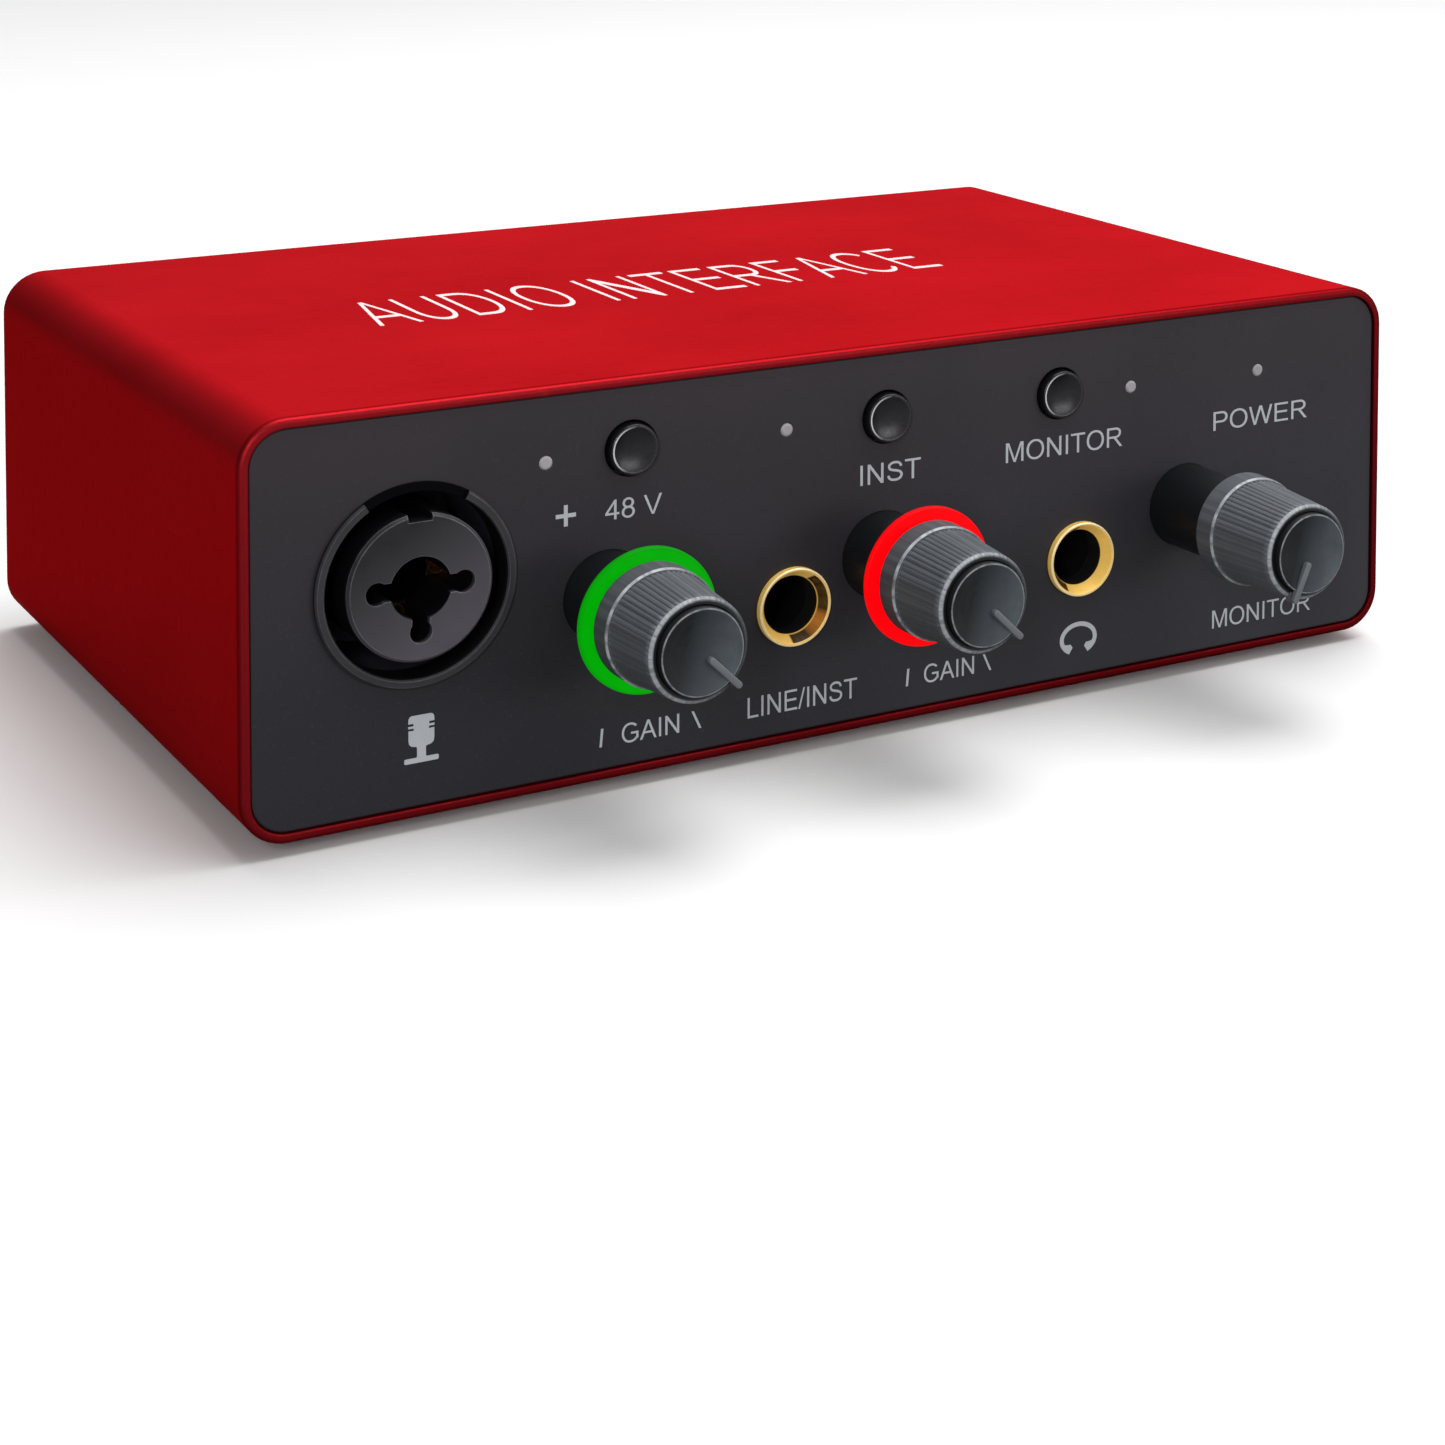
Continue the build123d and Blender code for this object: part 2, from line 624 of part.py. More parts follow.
# centre x, y, radius, height
CAPACITORS = [
    (74, 44, 4.0, 11), (84, 44, 4.0, 11), (94, 44, 3.15, 9), (104, 44, 3.15, 9),
    (114, 44, 3.15, 9), (36, 44, 5.0, 14), (49, 44, 5.0, 14),
]


def chip(x, y, size_x, size_y, height):
    body = block(x - size_x / 2, x + size_x / 2, y - size_y / 2, y + size_y / 2,
                 SEAT_Z, SEAT_Z + height)
    return one(chamfer(body.edges().group_by(Axis.Z)[-1], 0.3))


def capacitor(x, y, radius, height):
    can = z_cylinder(x, y, radius, SEAT_Z, SEAT_Z + height)
    return one(fillet(can.edges().group_by(Axis.Z)[-1], 0.5))


def make_coil():
    """Ring with its axis upright."""
    ring = revolved([(3.0, -3.0), (6.0, -3.0), (6.4, -2.4), (6.4, 2.4), (6.0, 3.0), (3.0, 3.0)])
    return one(place(128.0, 56.0, PCB_Z1 + 3.2) * Rot(90, 0, 0) * ring)


parts["chips"] = group([chip(*row) for row in CHIPS])
parts["electrolytic_capacitors"] = group([capacitor(*row) for row in CAPACITORS])
parts["phantom_supply_coil"] = make_coil()

# ---------------------------------------------------------------- export
os.makedirs("parts", exist_ok=True)
for name, shape in parts.items():
    shape.label = name
    export_step(shape, os.path.join("parts", name + ".step"))
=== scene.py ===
import bpy, bmesh, json, math
from mathutils import Matrix, Vector


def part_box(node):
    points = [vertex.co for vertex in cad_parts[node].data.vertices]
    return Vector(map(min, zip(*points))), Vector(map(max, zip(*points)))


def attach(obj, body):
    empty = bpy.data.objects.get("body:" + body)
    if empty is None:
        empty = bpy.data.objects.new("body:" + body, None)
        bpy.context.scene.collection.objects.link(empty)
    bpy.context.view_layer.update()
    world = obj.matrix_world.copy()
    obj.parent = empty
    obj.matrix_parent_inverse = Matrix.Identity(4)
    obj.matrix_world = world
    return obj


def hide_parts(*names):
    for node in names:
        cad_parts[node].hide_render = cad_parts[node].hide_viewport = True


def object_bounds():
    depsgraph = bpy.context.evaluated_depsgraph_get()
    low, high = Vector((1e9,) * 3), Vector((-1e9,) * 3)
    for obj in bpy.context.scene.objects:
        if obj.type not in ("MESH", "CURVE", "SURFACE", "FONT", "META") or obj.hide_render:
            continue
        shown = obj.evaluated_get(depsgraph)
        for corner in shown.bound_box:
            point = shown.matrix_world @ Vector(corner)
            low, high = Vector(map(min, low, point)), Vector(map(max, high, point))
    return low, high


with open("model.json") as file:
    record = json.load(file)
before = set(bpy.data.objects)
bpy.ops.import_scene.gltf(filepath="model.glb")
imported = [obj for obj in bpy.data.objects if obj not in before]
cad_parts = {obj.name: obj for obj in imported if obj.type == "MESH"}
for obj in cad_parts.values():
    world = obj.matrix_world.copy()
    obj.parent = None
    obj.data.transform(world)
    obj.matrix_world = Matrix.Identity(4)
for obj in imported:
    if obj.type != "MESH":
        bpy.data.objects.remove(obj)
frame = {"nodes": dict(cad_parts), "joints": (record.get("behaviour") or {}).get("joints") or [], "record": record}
CAD_LO, CAD_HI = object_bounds()
NODES = frame["nodes"]
REC = frame["record"]
scene = bpy.context.scene
scene.render.film_transparent = False
scene.view_settings.view_transform = "Standard"
scene.view_settings.look = "None"
scene.view_settings.exposure = 0.0
scene.view_settings.gamma = 1.0

MM = 0.001
lo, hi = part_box("shell")
XL, XR, YF, YR, ZB, ZT = lo.x, hi.x, lo.y, hi.y, lo.z, hi.z   # the sleeve's own box
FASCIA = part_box("front_panel")[0].y                            # plane of the fascia's front
JOINT = {j["name"]: j for j in frame["joints"]}
BODY_OF = {n: b for b, ns in REC["behaviour"]["bodies"].items() for n in ns}


def at(x, z, y=0.0):
    """Millimetres from the sleeve's lower left corner and its front rim, to the row frame."""
    return Vector((XL + x * MM, YF + y * MM, ZB + z * MM))


def centre(node):
    a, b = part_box(node)
    return (a + b) / 2


# ------------------------------------------------------------------ node-tree helpers
class NT:
    def __init__(self, name):
        self.m = bpy.data.materials.new(name)
        self.m.use_nodes = True
        self.t = self.m.node_tree
        self.t.nodes.clear()
        self.out = self.t.nodes.new("ShaderNodeOutputMaterial")
        self.b = self.t.nodes.new("ShaderNodeBsdfPrincipled")
        self.t.links.new(self.b.outputs[0], self.out.inputs[0])
        self.coord = self.t.nodes.new("ShaderNodeTexCoord")

    def n(self, kind, **kw):
        node = self.t.nodes.new(kind)
        for k, v in kw.items():
            setattr(node, k, v)
        return node

    def link(self, a, b):
        self.t.links.new(a, b)

    def set(self, sock, v):
        if hasattr(v, "is_output") or isinstance(v, bpy.types.NodeSocket):
            self.link(v, sock)
        else:
            sock.default_value = v

    def noise(self, scale, detail=4.0, rough=0.55, vec=None, distortion=0.0):
        n = self.n("ShaderNodeTexNoise")
        n.inputs["Scale"].default_value = scale
        n.inputs["Detail"].default_value = detail
        n.inputs["Roughness"].default_value = rough
        n.inputs["Distortion"].default_value = distortion
        self.link(vec or self.coord.outputs["Object"], n.inputs["Vector"])
        return n.outputs["Fac"]

    def stretch(self, sx, sy, sz):
        mp = self.n("ShaderNodeMapping")
        mp.inputs["Scale"].default_value = (sx, sy, sz)
        self.link(self.coord.outputs["Object"], mp.inputs["Vector"])
        return mp.outputs["Vector"]

    def voronoi(self, scale, feature="F1", vec=None):
        n = self.n("ShaderNodeTexVoronoi", feature=feature)
        n.inputs["Scale"].default_value = scale
        self.link(vec or self.coord.outputs["Object"], n.inputs["Vector"])
        return n.outputs["Distance"]

    def remap(self, fac, a, b, c, d, clamp=True):
        n = self.n("ShaderNodeMapRange")
        n.clamp = clamp
        self.link(fac, n.inputs["Value"])
        for k, v in (("From Min", a), ("From Max", b), ("To Min", c), ("To Max", d)):
            self.set(n.inputs[k], v)
        return n.outputs[0]

    def math(self, op, a, b=0.0, c=None):
        n = self.n("ShaderNodeMath", operation=op)
        self.set(n.inputs[0], a)
        self.set(n.inputs[1], b)
        if c is not None:
            self.set(n.inputs[2], c)
        return n.outputs[0]

    def mix(self, fac, a, b, mode="MIX"):
        n = self.n("ShaderNodeMix", data_type="RGBA", blend_type=mode)
        self.set(n.inputs[0], fac)
        for s, v in ((n.inputs[6], a), (n.inputs[7], b)):
            if isinstance(v, (tuple, list)):
                s.default_value = (*v[:3], 1.0)
            else:
                self.link(v, s)
        return n.outputs[2]

    def xyz(self):
        n = self.n("ShaderNodeSeparateXYZ")
        self.link(self.coord.outputs["Object"], n.inputs[0])
        return n.outputs

    def radial(self, cx, cz):
        """Distance from the Y line through (cx, cz)."""
        x, y, z = self.xyz()
        dx, dz = self.math("SUBTRACT", x, cx), self.math("SUBTRACT", z, cz)
        return self.math("SQRT", self.math("ADD", self.math("MULTIPLY", dx, dx), self.math("MULTIPLY", dz, dz)))

    def sector(self, cx, cz, scale=1.0, seed=0.0):
        """Noise that changes only with the direction round the Y line through (cx, cz)."""
        x, y, z = self.xyz()
        v = self.n("ShaderNodeCombineXYZ")
        self.link(self.math("SUBTRACT", x, cx), v.inputs[0])
        self.link(self.math("SUBTRACT", z, cz), v.inputs[1])
        u = self.n("ShaderNodeVectorMath", operation="NORMALIZE")
        self.link(v.outputs[0], u.inputs[0])
        o = self.n("ShaderNodeVectorMath", operation="ADD")
        self.link(u.outputs[0], o.inputs[0])
        o.inputs[1].default_value = (seed, seed * 0.7, 0.0)
        return self.noise(scale, 2, 0.5, vec=o.outputs[0])

    def edge(self, radius=0.25, gain=1.0):
        """1 on convex edges: how far the rounded normal turns from the true one."""
        bev = self.n("ShaderNodeBevel", samples=4)
        bev.inputs["Radius"].default_value = radius * MM
        geo = self.n("ShaderNodeNewGeometry")
        dot = self.n("ShaderNodeVectorMath", operation="DOT_PRODUCT")
        self.link(bev.outputs[0], dot.inputs[0])
        self.link(geo.outputs["Normal"], dot.inputs[1])
        return self.remap(dot.outputs["Value"], 0.995, 0.9, 0.0, gain), bev.outputs[0]

    def bump(self, height, strength=0.3, distance=0.05, normal=None):
        n = self.n("ShaderNodeBump")
        n.inputs["Strength"].default_value = strength
        n.inputs["Distance"].default_value = distance * MM
        self.link(height, n.inputs["Height"])
        if normal is not None:
            self.link(normal, n.inputs["Normal"])
        return n.outputs[0]

    def done(self, color, rough, metallic=0.0, normal=None, coat=0.0, coat_rough=0.2, spec=0.5, tint=None, emission=None, strength=0.0, transmission=0.0, aniso=0.0):
        b = self.b.inputs
        if tint is not None:
            b["Specular Tint"].default_value = (*tint, 1.0)
        if isinstance(color, (tuple, list)):
            b["Base Color"].default_value = (*color[:3], 1.0)
        else:
            self.link(color, b["Base Color"])
        self.set(b["Roughness"], rough)
        self.set(b["Metallic"], metallic)
        b["Specular IOR Level"].default_value = spec
        b["Coat Weight"].default_value = coat
        b["Coat Roughness"].default_value = coat_rough
        b["Anisotropic"].default_value = aniso
        if transmission:
            b["Transmission Weight"].default_value = transmission
        if normal is not None:
            self.link(normal, b["Normal"])
        if emission is not None:
            if isinstance(emission, (tuple, list)):
                b["Emission Color"].default_value = (*emission[:3], 1.0)
            else:
                self.link(emission, b["Emission Color"])
            self.set(b["Emission Strength"], strength)
        return self.m


def srgb(r, g, b):
    f = lambda c: (c / 255 / 12.92) if c / 255 <= 0.04045 else ((c / 255 + 0.055) / 1.055) ** 2.4
    return (f(r), f(g), f(b))


def scaled(c, k):
    return tuple(min(1.0, v * k) for v in c)


# ------------------------------------------------------------------ materials
def m_anodised():
    """Bead-blasted, dyed anodising: even colour with a faint cloud, a fine tooth, lighter edges that are partly rubbed
    bare and partly a painted highlight, and painted shade on the front rim.
    """
    k = NT("anodised_red")
    base = srgb(206, 41, 50)
    cloud = k.noise(28, 5, 0.6)
    fine = k.noise(900, 3, 0.7)
    c = k.mix(k.remap(cloud, 0.3, 0.7, 0.0, 1.0), scaled(base, 0.95), scaled(base, 1.04))
    c = k.mix(k.remap(fine, 0.35, 0.65, 0.0, 0.5), c, scaled(base, 0.92))
    # lighter edges: partly rubbed bare, partly a painted highlight
    e, bev = k.edge(0.3, 0.16)
    edge_wear_and_highlight = k.math("MULTIPLY", e, k.remap(k.noise(160, 6, 0.7), 0.4, 0.62, 0.2, 1.0))
    c = k.mix(edge_wear_and_highlight, c, srgb(232, 44, 44))
    # painted shade: the turned front rim is darker, most of all low and on the right
    x, y, z = k.xyz()
    rim = k.remap(y, YF + 0.6 * MM, YF + 1.2 * MM, 1.0, 0.0)
    low = k.math("SUBTRACT", k.remap(x, XL, XR, 0.0, 0.62), k.remap(z, ZB, ZT, 0.0, 0.38))
    c = k.mix(k.math("MULTIPLY", rim, k.remap(low, -0.38, 0.45, 0.55, 0.93)), c, scaled(base, 0.2))
    # rubbed marks: a few soft short scuffs
    scuff = k.noise(1.0, 4, 0.75, vec=k.stretch(60, 420, 60), distortion=0.8)
    c = k.mix(k.remap(scuff, 0.66, 0.78, 0.0, 0.16), c, srgb(236, 70, 70))
    # blasted tooth, and long faint extrusion lines along the depth
    tooth = k.noise(5200, 2, 0.6)
    lines = k.noise(1.0, 2, 0.5, vec=k.stretch(1500, 9, 1500))
    h = k.math("ADD", tooth, k.math("MULTIPLY", lines, 0.4))
    nrm = k.bump(h, 0.14, 0.02, normal=bev)
    r = k.remap(k.math("ADD", k.math("MULTIPLY", cloud, 0.6), k.math("MULTIPLY", fine, 0.4)), 0.3, 0.7, 0.36, 0.46)
    return k.done(c, r, metallic=0.84, normal=nrm, spec=0.0, tint=(1.0, 0.12, 0.14))


def m_fascia():
    """Charcoal satin paint with a fine orange peel; painted light makes it lighter and warmer towards its top edge and
    lighter towards its lower right.
    """
    k = NT("fascia_charcoal")
    z = k.xyz()[2]
    # painted light: lighter and warmer towards the top
    up = k.remap(z, ZB + 0.014, ZT, 0.0, 1.0)
    c = k.mix(up, srgb(41, 41, 47), srgb(55, 48, 54))
    # painted light: lighter towards the lower right
    c = k.mix(k.math("MULTIPLY", k.remap(k.xyz()[0], XL + 0.03, XR, 0.0, 0.95), k.remap(z, ZB, ZT, 1.0, 0.0)), c, srgb(59, 58, 64))
    cloud = k.noise(45, 5, 0.65)
    c = k.mix(k.remap(cloud, 0.3, 0.7, 0.0, 0.3), c, srgb(39, 38, 44))
    speck = k.noise(2600, 2, 0.5)
    c = k.mix(k.remap(speck, 0.6, 0.78, 0.0, 0.3), c, srgb(66, 64, 71))
    e, bev = k.edge(0.18, 0.5)
    c = k.mix(e, c, srgb(88, 86, 92))
    peel = k.noise(1500, 3, 0.55)
    nrm = k.bump(peel, 0.22, 0.03, normal=bev)
    r = k.remap(k.math("ADD", k.math("MULTIPLY", cloud, 0.5), k.math("MULTIPLY", peel, 0.5)), 0.35, 0.65, 0.46, 0.6)
    return k.done(c, r, normal=nrm, spec=0.28)


def m_plastic(name, base, rough=(0.38, 0.5), grain=2600, bump=0.2, edge_col=None, edge_gain=0.5, edge_r=0.15, cloud_k=0.12, spec=0.5, coat=0.0, scratch=0.0, crevice_shade=None):
    k = NT(name)
    cloud = k.noise(120, 5, 0.6)
    g = k.noise(grain, 3, 0.6)
    c = k.mix(k.remap(cloud, 0.3, 0.7, 0.0, 1.0), scaled(base, 1 - cloud_k), scaled(base, 1 + cloud_k))
    e, bev = k.edge(edge_r, edge_gain)
    if edge_col is not None:
        broken = k.math("MULTIPLY", e, k.remap(k.noise(420, 5, 0.7), 0.35, 0.6, 0.45, 1.0))
        c = k.mix(broken, c, edge_col)
    h = g
    r = k.remap(g, 0.3, 0.7, rough[0], rough[1])
    if scratch:
        s = k.noise(1.0, 4, 0.7, vec=k.stretch(260, 260, 5200), distortion=0.6)
        r = k.math("ADD", r, k.remap(s, 0.55, 0.75, 0.0, scratch))
    # painted shade: darker in crevices, from an ambient occlusion mask
    if crevice_shade is not None:
        ao = k.n("ShaderNodeAmbientOcclusion", samples=4)
        ao.inputs["Distance"].default_value = 0.6 * MM
        c = k.mix(k.remap(ao.outputs["AO"], 0.35, 0.8, 0.8, 0.0), c, crevice_shade)
    nrm = k.bump(h, bump, 0.02, normal=bev)
    return k.done(c, r, normal=nrm, spec=spec, coat=coat, coat_rough=0.12)


def m_gold_ring(centres):
    """Gold-plated ring, machined; painted light: a brown, shaded sector in its cone with a painted copper highlight,
    painted highlights on its edges, a painted near-black bore behind its cone, and a faint glow of its own.
    """
    k = NT("gold_ring")
    base = srgb(255, 206, 104)
    cloud = k.noise(300, 5, 0.65)
    c = k.mix(k.remap(cloud, 0.3, 0.7, 0.0, 1.0), scaled(base, 0.9), scaled(base, 1.05))
    rr = None
    left = k.remap(k.xyz()[0], (centres[0].x + centres[1].x) / 2 - 0.0001, (centres[0].x + centres[1].x) / 2 + 0.0001, 0.0, 1.0)
    d0, d1 = k.radial(centres[0].x, centres[0].z), k.radial(centres[1].x, centres[1].z)
    rr = k.math("MINIMUM", d0, d1)
    x, y, z = k.xyz()

    def lean(cc, a):
        """Cosine between the direction from the ring's axis and the direction a degrees clockwise from up."""
        u = k.math("ADD", k.math("MULTIPLY", k.math("SUBTRACT", x, cc.x), math.sin(math.radians(a))), k.math("MULTIPLY", k.math("SUBTRACT", z, cc.z), math.cos(math.radians(a))))
        return k.math("DIVIDE", u, k.math("MAXIMUM", rr, 0.001))

    pick = lambda p, q: k.math("ADD", k.math("MULTIPLY", p, k.math("SUBTRACT", 1.0, left)), k.math("MULTIPLY", q, left))
    # painted shade: one side of the cone is shaded brown, with a painted copper highlight near one angle
    thin = pick(lean(centres[0], 110), lean(centres[1], -78))
    brown = k.remap(thin, 0.24, 0.3, 0.0, 1.0)
    cone = k.math("MULTIPLY", k.remap(rr, 3.3 * MM, 3.4 * MM, 0.0, 1.0), k.remap(rr, 4.0 * MM, 4.06 * MM, 1.0, 0.0))
    flare = pick(k.sector(centres[0].x, centres[0].z, 4.5, 3.1), k.sector(centres[1].x, centres[1].z, 4.5, 7.4))
    streak = pick(lean(centres[0], 128), lean(centres[1], -75))
    bc = k.mix(k.remap(streak, 0.9, 0.985, 0.0, 1.0), srgb(50, 33, 11), srgb(186, 116, 42))
    bc = k.mix(k.remap(flare, 0.42, 0.66, 0.0, 0.4), bc, srgb(100, 70, 24))
    c = k.mix(k.math("MULTIPLY", brown, cone), c, bc)
    c = k.mix(k.remap(k.noise(900, 6, 0.7), 0.6, 0.75, 0.0, 0.35), c, srgb(176, 124, 52))
    # painted highlights: pale bright edges and a thin bright line near the outer edge
    e, bev = k.edge(0.12, 0.7)
    c = k.mix(e, c, srgb(255, 250, 222))
    c = k.mix(k.math("MULTIPLY", k.remap(rr, 4.2 * MM, 4.24 * MM, 0.0, 0.75), k.remap(rr, 4.34 * MM, 4.37 * MM, 1.0, 0.0)), c, srgb(255, 246, 214))
    # painted shade: near-black inside the bore behind the cone
    deep = k.math("MAXIMUM", k.remap(rr, 3.31 * MM, 3.27 * MM, 0.0, 1.0), k.remap(rr, 4.395 * MM, 4.41 * MM, 0.0, 0.0))
    c = k.mix(deep, c, srgb(9, 8, 8))
    g = k.noise(2400, 3, 0.6)
    nrm = k.bump(g, 0.08, 0.02, normal=bev)
    # painted light: the ring glows faintly in its own colour (strength 0.19)
    return k.done(c, k.math("ADD", k.remap(g, 0.3, 0.7, 0.26, 0.38), k.math("MULTIPLY", deep, 0.3)), metallic=k.remap(deep, 0, 1, 0.12, 0.0), normal=nrm, coat=0.15, coat_rough=0.15, emission=c, strength=0.19)


def m_combo(name, base, cx, cz, edge_col, notch=None, deep_y=None, bore=None, grad=0.0, rough=(0.4, 0.54), scratch=0.12):
    """Moulded plastic of the combo socket: lighter edges, partly rubbed and partly a painted highlight; painted shade
    inside its openings, in the notch and on side walls; a painted gradient lighter towards the lower right.
    """
    k = NT(name)
    x, y, z = k.xyz()
    cloud = k.noise(150, 5, 0.65)
    c = k.mix(k.remap(cloud, 0.3, 0.7, 0.0, 1.0), scaled(base, 0.85), scaled(base, 1.15))
    if grad:
        # painted light: darker at the upper left, lighter towards the lower right
        lean = k.math("ADD", k.math("MULTIPLY", k.math("SUBTRACT", z, cz), -0.9), k.math("MULTIPLY", k.math("SUBTRACT", x, cx), 0.55))
        c = k.mix(k.remap(lean, -6.5 * MM, 6.5 * MM, 0.0, 1.0), scaled(base, 1 - grad), scaled(base, 1 + grad * 0.85))
        c = k.mix(k.remap(cloud, 0.4, 0.7, 0.0, 0.3), c, scaled(base, 0.7))
    g = k.noise(1900, 3, 0.6)
    e, bev = k.edge(0.16, 0.8)
    # lighter edges: partly rubbed, partly a painted highlight
    broken = k.math("MULTIPLY", e, k.remap(k.noise(300, 5, 0.7), 0.35, 0.6, 0.3, 1.0))
    c = k.mix(broken, c, edge_col)
    scr = k.noise(1.0, 4, 0.75, vec=k.stretch(500, 500, 2600), distortion=1.2)
    c = k.mix(k.remap(scr, 0.66, 0.72, 0.0, 0.35), c, scaled(base, 0.45))
    black = srgb(9, 8, 12)
    if notch is not None:
        # painted shade: surfaces turned sideways, the side walls, are darker
        nrm_y = k.n("ShaderNodeSeparateXYZ")
        k.link(k.n("ShaderNodeNewGeometry").outputs["Normal"], nrm_y.inputs[0])
        c = k.mix(k.remap(k.math("ABSOLUTE", nrm_y.outputs[1]), 0.35, 0.6, 0.85, 0.0), c, srgb(16, 15, 19))
    if deep_y is not None:
        # painted shade: near-black deeper than deep_y
        c = k.mix(k.remap(y, deep_y, deep_y + 0.6 * MM, 0.0, 1.0), c, black)
    if bore is not None:
        # painted shade: near-black inside the bore
        c = k.mix(k.remap(k.radial(cx, cz), bore + 0.06 * MM, bore + 0.02 * MM, 0.0, 1.0), c, black)
    notch_shade = None
    if notch is not None:
        # painted shade: the notch is near-black, with its specular turned down
        ang = k.math("ARCTAN2", k.math("SUBTRACT", x, cx), k.math("SUBTRACT", z, cz))
        inside = k.math("MULTIPLY", k.remap(ang, notch[0] - 0.005, notch[0] + 0.005, 0.0, 1.0), k.remap(ang, notch[1] - 0.005, notch[1] + 0.005, 1.0, 0.0))
        c = k.mix(inside, c, black)
        notch_shade = inside
    r = k.math("ADD", k.remap(g, 0.3, 0.7, rough[0], rough[1]), k.remap(scr, 0.6, 0.75, 0.0, scratch))
    m = k.done(c, r, normal=k.bump(g, 0.22, 0.02, normal=bev), spec=0.4)
    if notch_shade is not None:
        k.set(k.b.inputs["Specular IOR Level"], k.remap(notch_shade, 0.0, 1.0, 0.4, 0.02))
    return m


def m_metal(name, base, rough=(0.2, 0.34), brush=None, edge_col=None, tarnish=None, grain=1800, bump=0.12, aniso=0.0):
    k = NT(name)
    cloud = k.noise(240, 5, 0.65)
    vec = k.stretch(*brush) if brush else None
    g = k.noise(1.0 if brush else grain, 3, 0.6, vec=vec)
    c = k.mix(k.remap(cloud, 0.3, 0.7, 0.0, 1.0), scaled(base, 0.88), scaled(base, 1.06))
    if tarnish is not None:
        c = k.mix(k.remap(k.noise(700, 6, 0.7), 0.5, 0.7, 0.0, 0.5), c, tarnish)
    e, bev = k.edge(0.12, 0.6)
    c = k.mix(e, c, edge_col or scaled(base, 1.25))
    nrm = k.bump(g, bump, 0.02, normal=bev)
    r = k.remap(g, 0.3, 0.7, rough[0], rough[1])
    return k.done(c, r, metallic=1.0, normal=nrm, aniso=aniso)


def m_grip(name, base, node):
    """Moulded knob body: axial streaks from handling; painted highlights on the side towards the lights, on the ribs'
    front end and its edge line, as a broken bright line on the skirt's front edge and on the front rim; painted shade
    on the front plane's far side and in the rim groove.
    """
    k = NT(name)
    a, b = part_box(node)
    cx, cz = (a.x + b.x) / 2, (a.z + b.z) / 2
    x, y, z = k.xyz()
    rr = k.radial(cx, cz)
    dx, dz = k.math("SUBTRACT", x, cx), k.math("SUBTRACT", z, cz)
    # painted light mask: highest on the left and upper side, towards the lights, 0.1 on the far side
    painted_lit_side = k.remap(k.math("SUBTRACT", k.math("MULTIPLY", dz, 0.2), dx), -4.5 * MM, 5.0 * MM, 0.1, 1.0)     # the side turned to the window
    cloud = k.noise(220, 5, 0.65)
    c = k.mix(k.remap(cloud, 0.3, 0.7, 0.0, 1.0), scaled(base, 0.88), scaled(base, 1.1))
    broad = k.sector(cx, cz, 2.2, 1.7)
    c = k.mix(k.remap(broad, 0.36, 0.64, 0.0, 0.5), c, scaled(base, 0.62))
    thin = k.sector(cx, cz, 13.0, 4.9)
    c = k.mix(k.remap(thin, 0.5, 0.64, 0.0, 0.5), c, scaled(base, 1.7))
    c = k.mix(k.remap(k.sector(cx, cz, 19.0, 7.7), 0.52, 0.66, 0.0, 0.45), c, scaled(base, 0.5))
    skirt = k.remap(y, b.y - 3.25 * MM, b.y - 3.15 * MM, 0.0, 1.0)
    c = k.mix(k.math("MULTIPLY", skirt, 0.3), c, scaled(base, 0.62))
    # painted highlight on the front end of the ribs, and on its line, towards the lights
    front = k.remap(y, a.y + 0.3 * MM, a.y + 1.3 * MM, 1.0, 0.0)
    rib_end_highlight = k.math("MULTIPLY", k.math("MULTIPLY", front, k.remap(k.sector(cx, cz, 9.0, 2.3), 0.42, 0.6, 0.25, 0.8)), painted_lit_side)
    c = k.mix(rib_end_highlight, c, srgb(150, 156, 162))
    e, bev = k.edge(0.1, 0.55)
    # painted highlight: the edge line, towards the lights
    line = k.math("MULTIPLY", k.math("MULTIPLY", e, k.remap(k.sector(cx, cz, 7.0, 8.1), 0.38, 0.56, 0.3, 1.0)), painted_lit_side)
    # painted highlight: a broken bright line on the skirt's front edge, towards the lights
    skirt_edge_highlight = k.math("MULTIPLY", k.remap(rr, 6.16 * MM, 6.2 * MM, 0.0, 1.0), k.remap(y, b.y - 2.88 * MM, b.y - 2.82 * MM, 1.0, 0.0))
    skirt_edge_highlight = k.math("MULTIPLY", k.math("MULTIPLY", skirt_edge_highlight, k.remap(k.sector(cx, cz, 5.0, 3.3), 0.38, 0.6, 0.22, 0.95)), painted_lit_side)
    # painted highlight on the front rim, towards the lights
    front_rim_highlight = k.math("MULTIPLY", k.remap(y, a.y + 0.34 * MM, a.y + 0.28 * MM, 0.0, 1.0), k.remap(rr, 5.12 * MM, 5.18 * MM, 0.0, 0.85))
    front_rim_highlight = k.math("MULTIPLY", k.math("MULTIPLY", front_rim_highlight, painted_lit_side), k.remap(k.sector(cx, cz, 14.0, 1.1), 0.36, 0.62, 0.25, 0.95))
    c = k.mix(line, c, srgb(150, 155, 160))
    # painted shade: the front plane darker on the side away from the lights
    front_plane_shade = k.math("MULTIPLY", k.remap(y, a.y + 0.3 * MM, a.y + 0.24 * MM, 0.0, 0.8), k.remap(rr, 5.4 * MM, 5.5 * MM, 1.0, 0.6))
    c = k.mix(k.math("MULTIPLY", front_plane_shade, k.remap(painted_lit_side, 0.1, 0.75, 1.0, 0.0)), c, srgb(36, 39, 42))
    c = k.mix(k.math("MAXIMUM", skirt_edge_highlight, front_rim_highlight), c, srgb(196, 201, 206))
    # painted shade in the rim groove
    groove_shade = k.remap(rr, 5.0 * MM, 5.06 * MM, 1.0, 0.0)
    c = k.mix(groove_shade, c, srgb(24, 26, 29))
    g = k.noise(2600, 3, 0.6)
    scr = k.noise(1.0, 4, 0.7, vec=k.stretch(1400, 90, 1400), distortion=0.5)
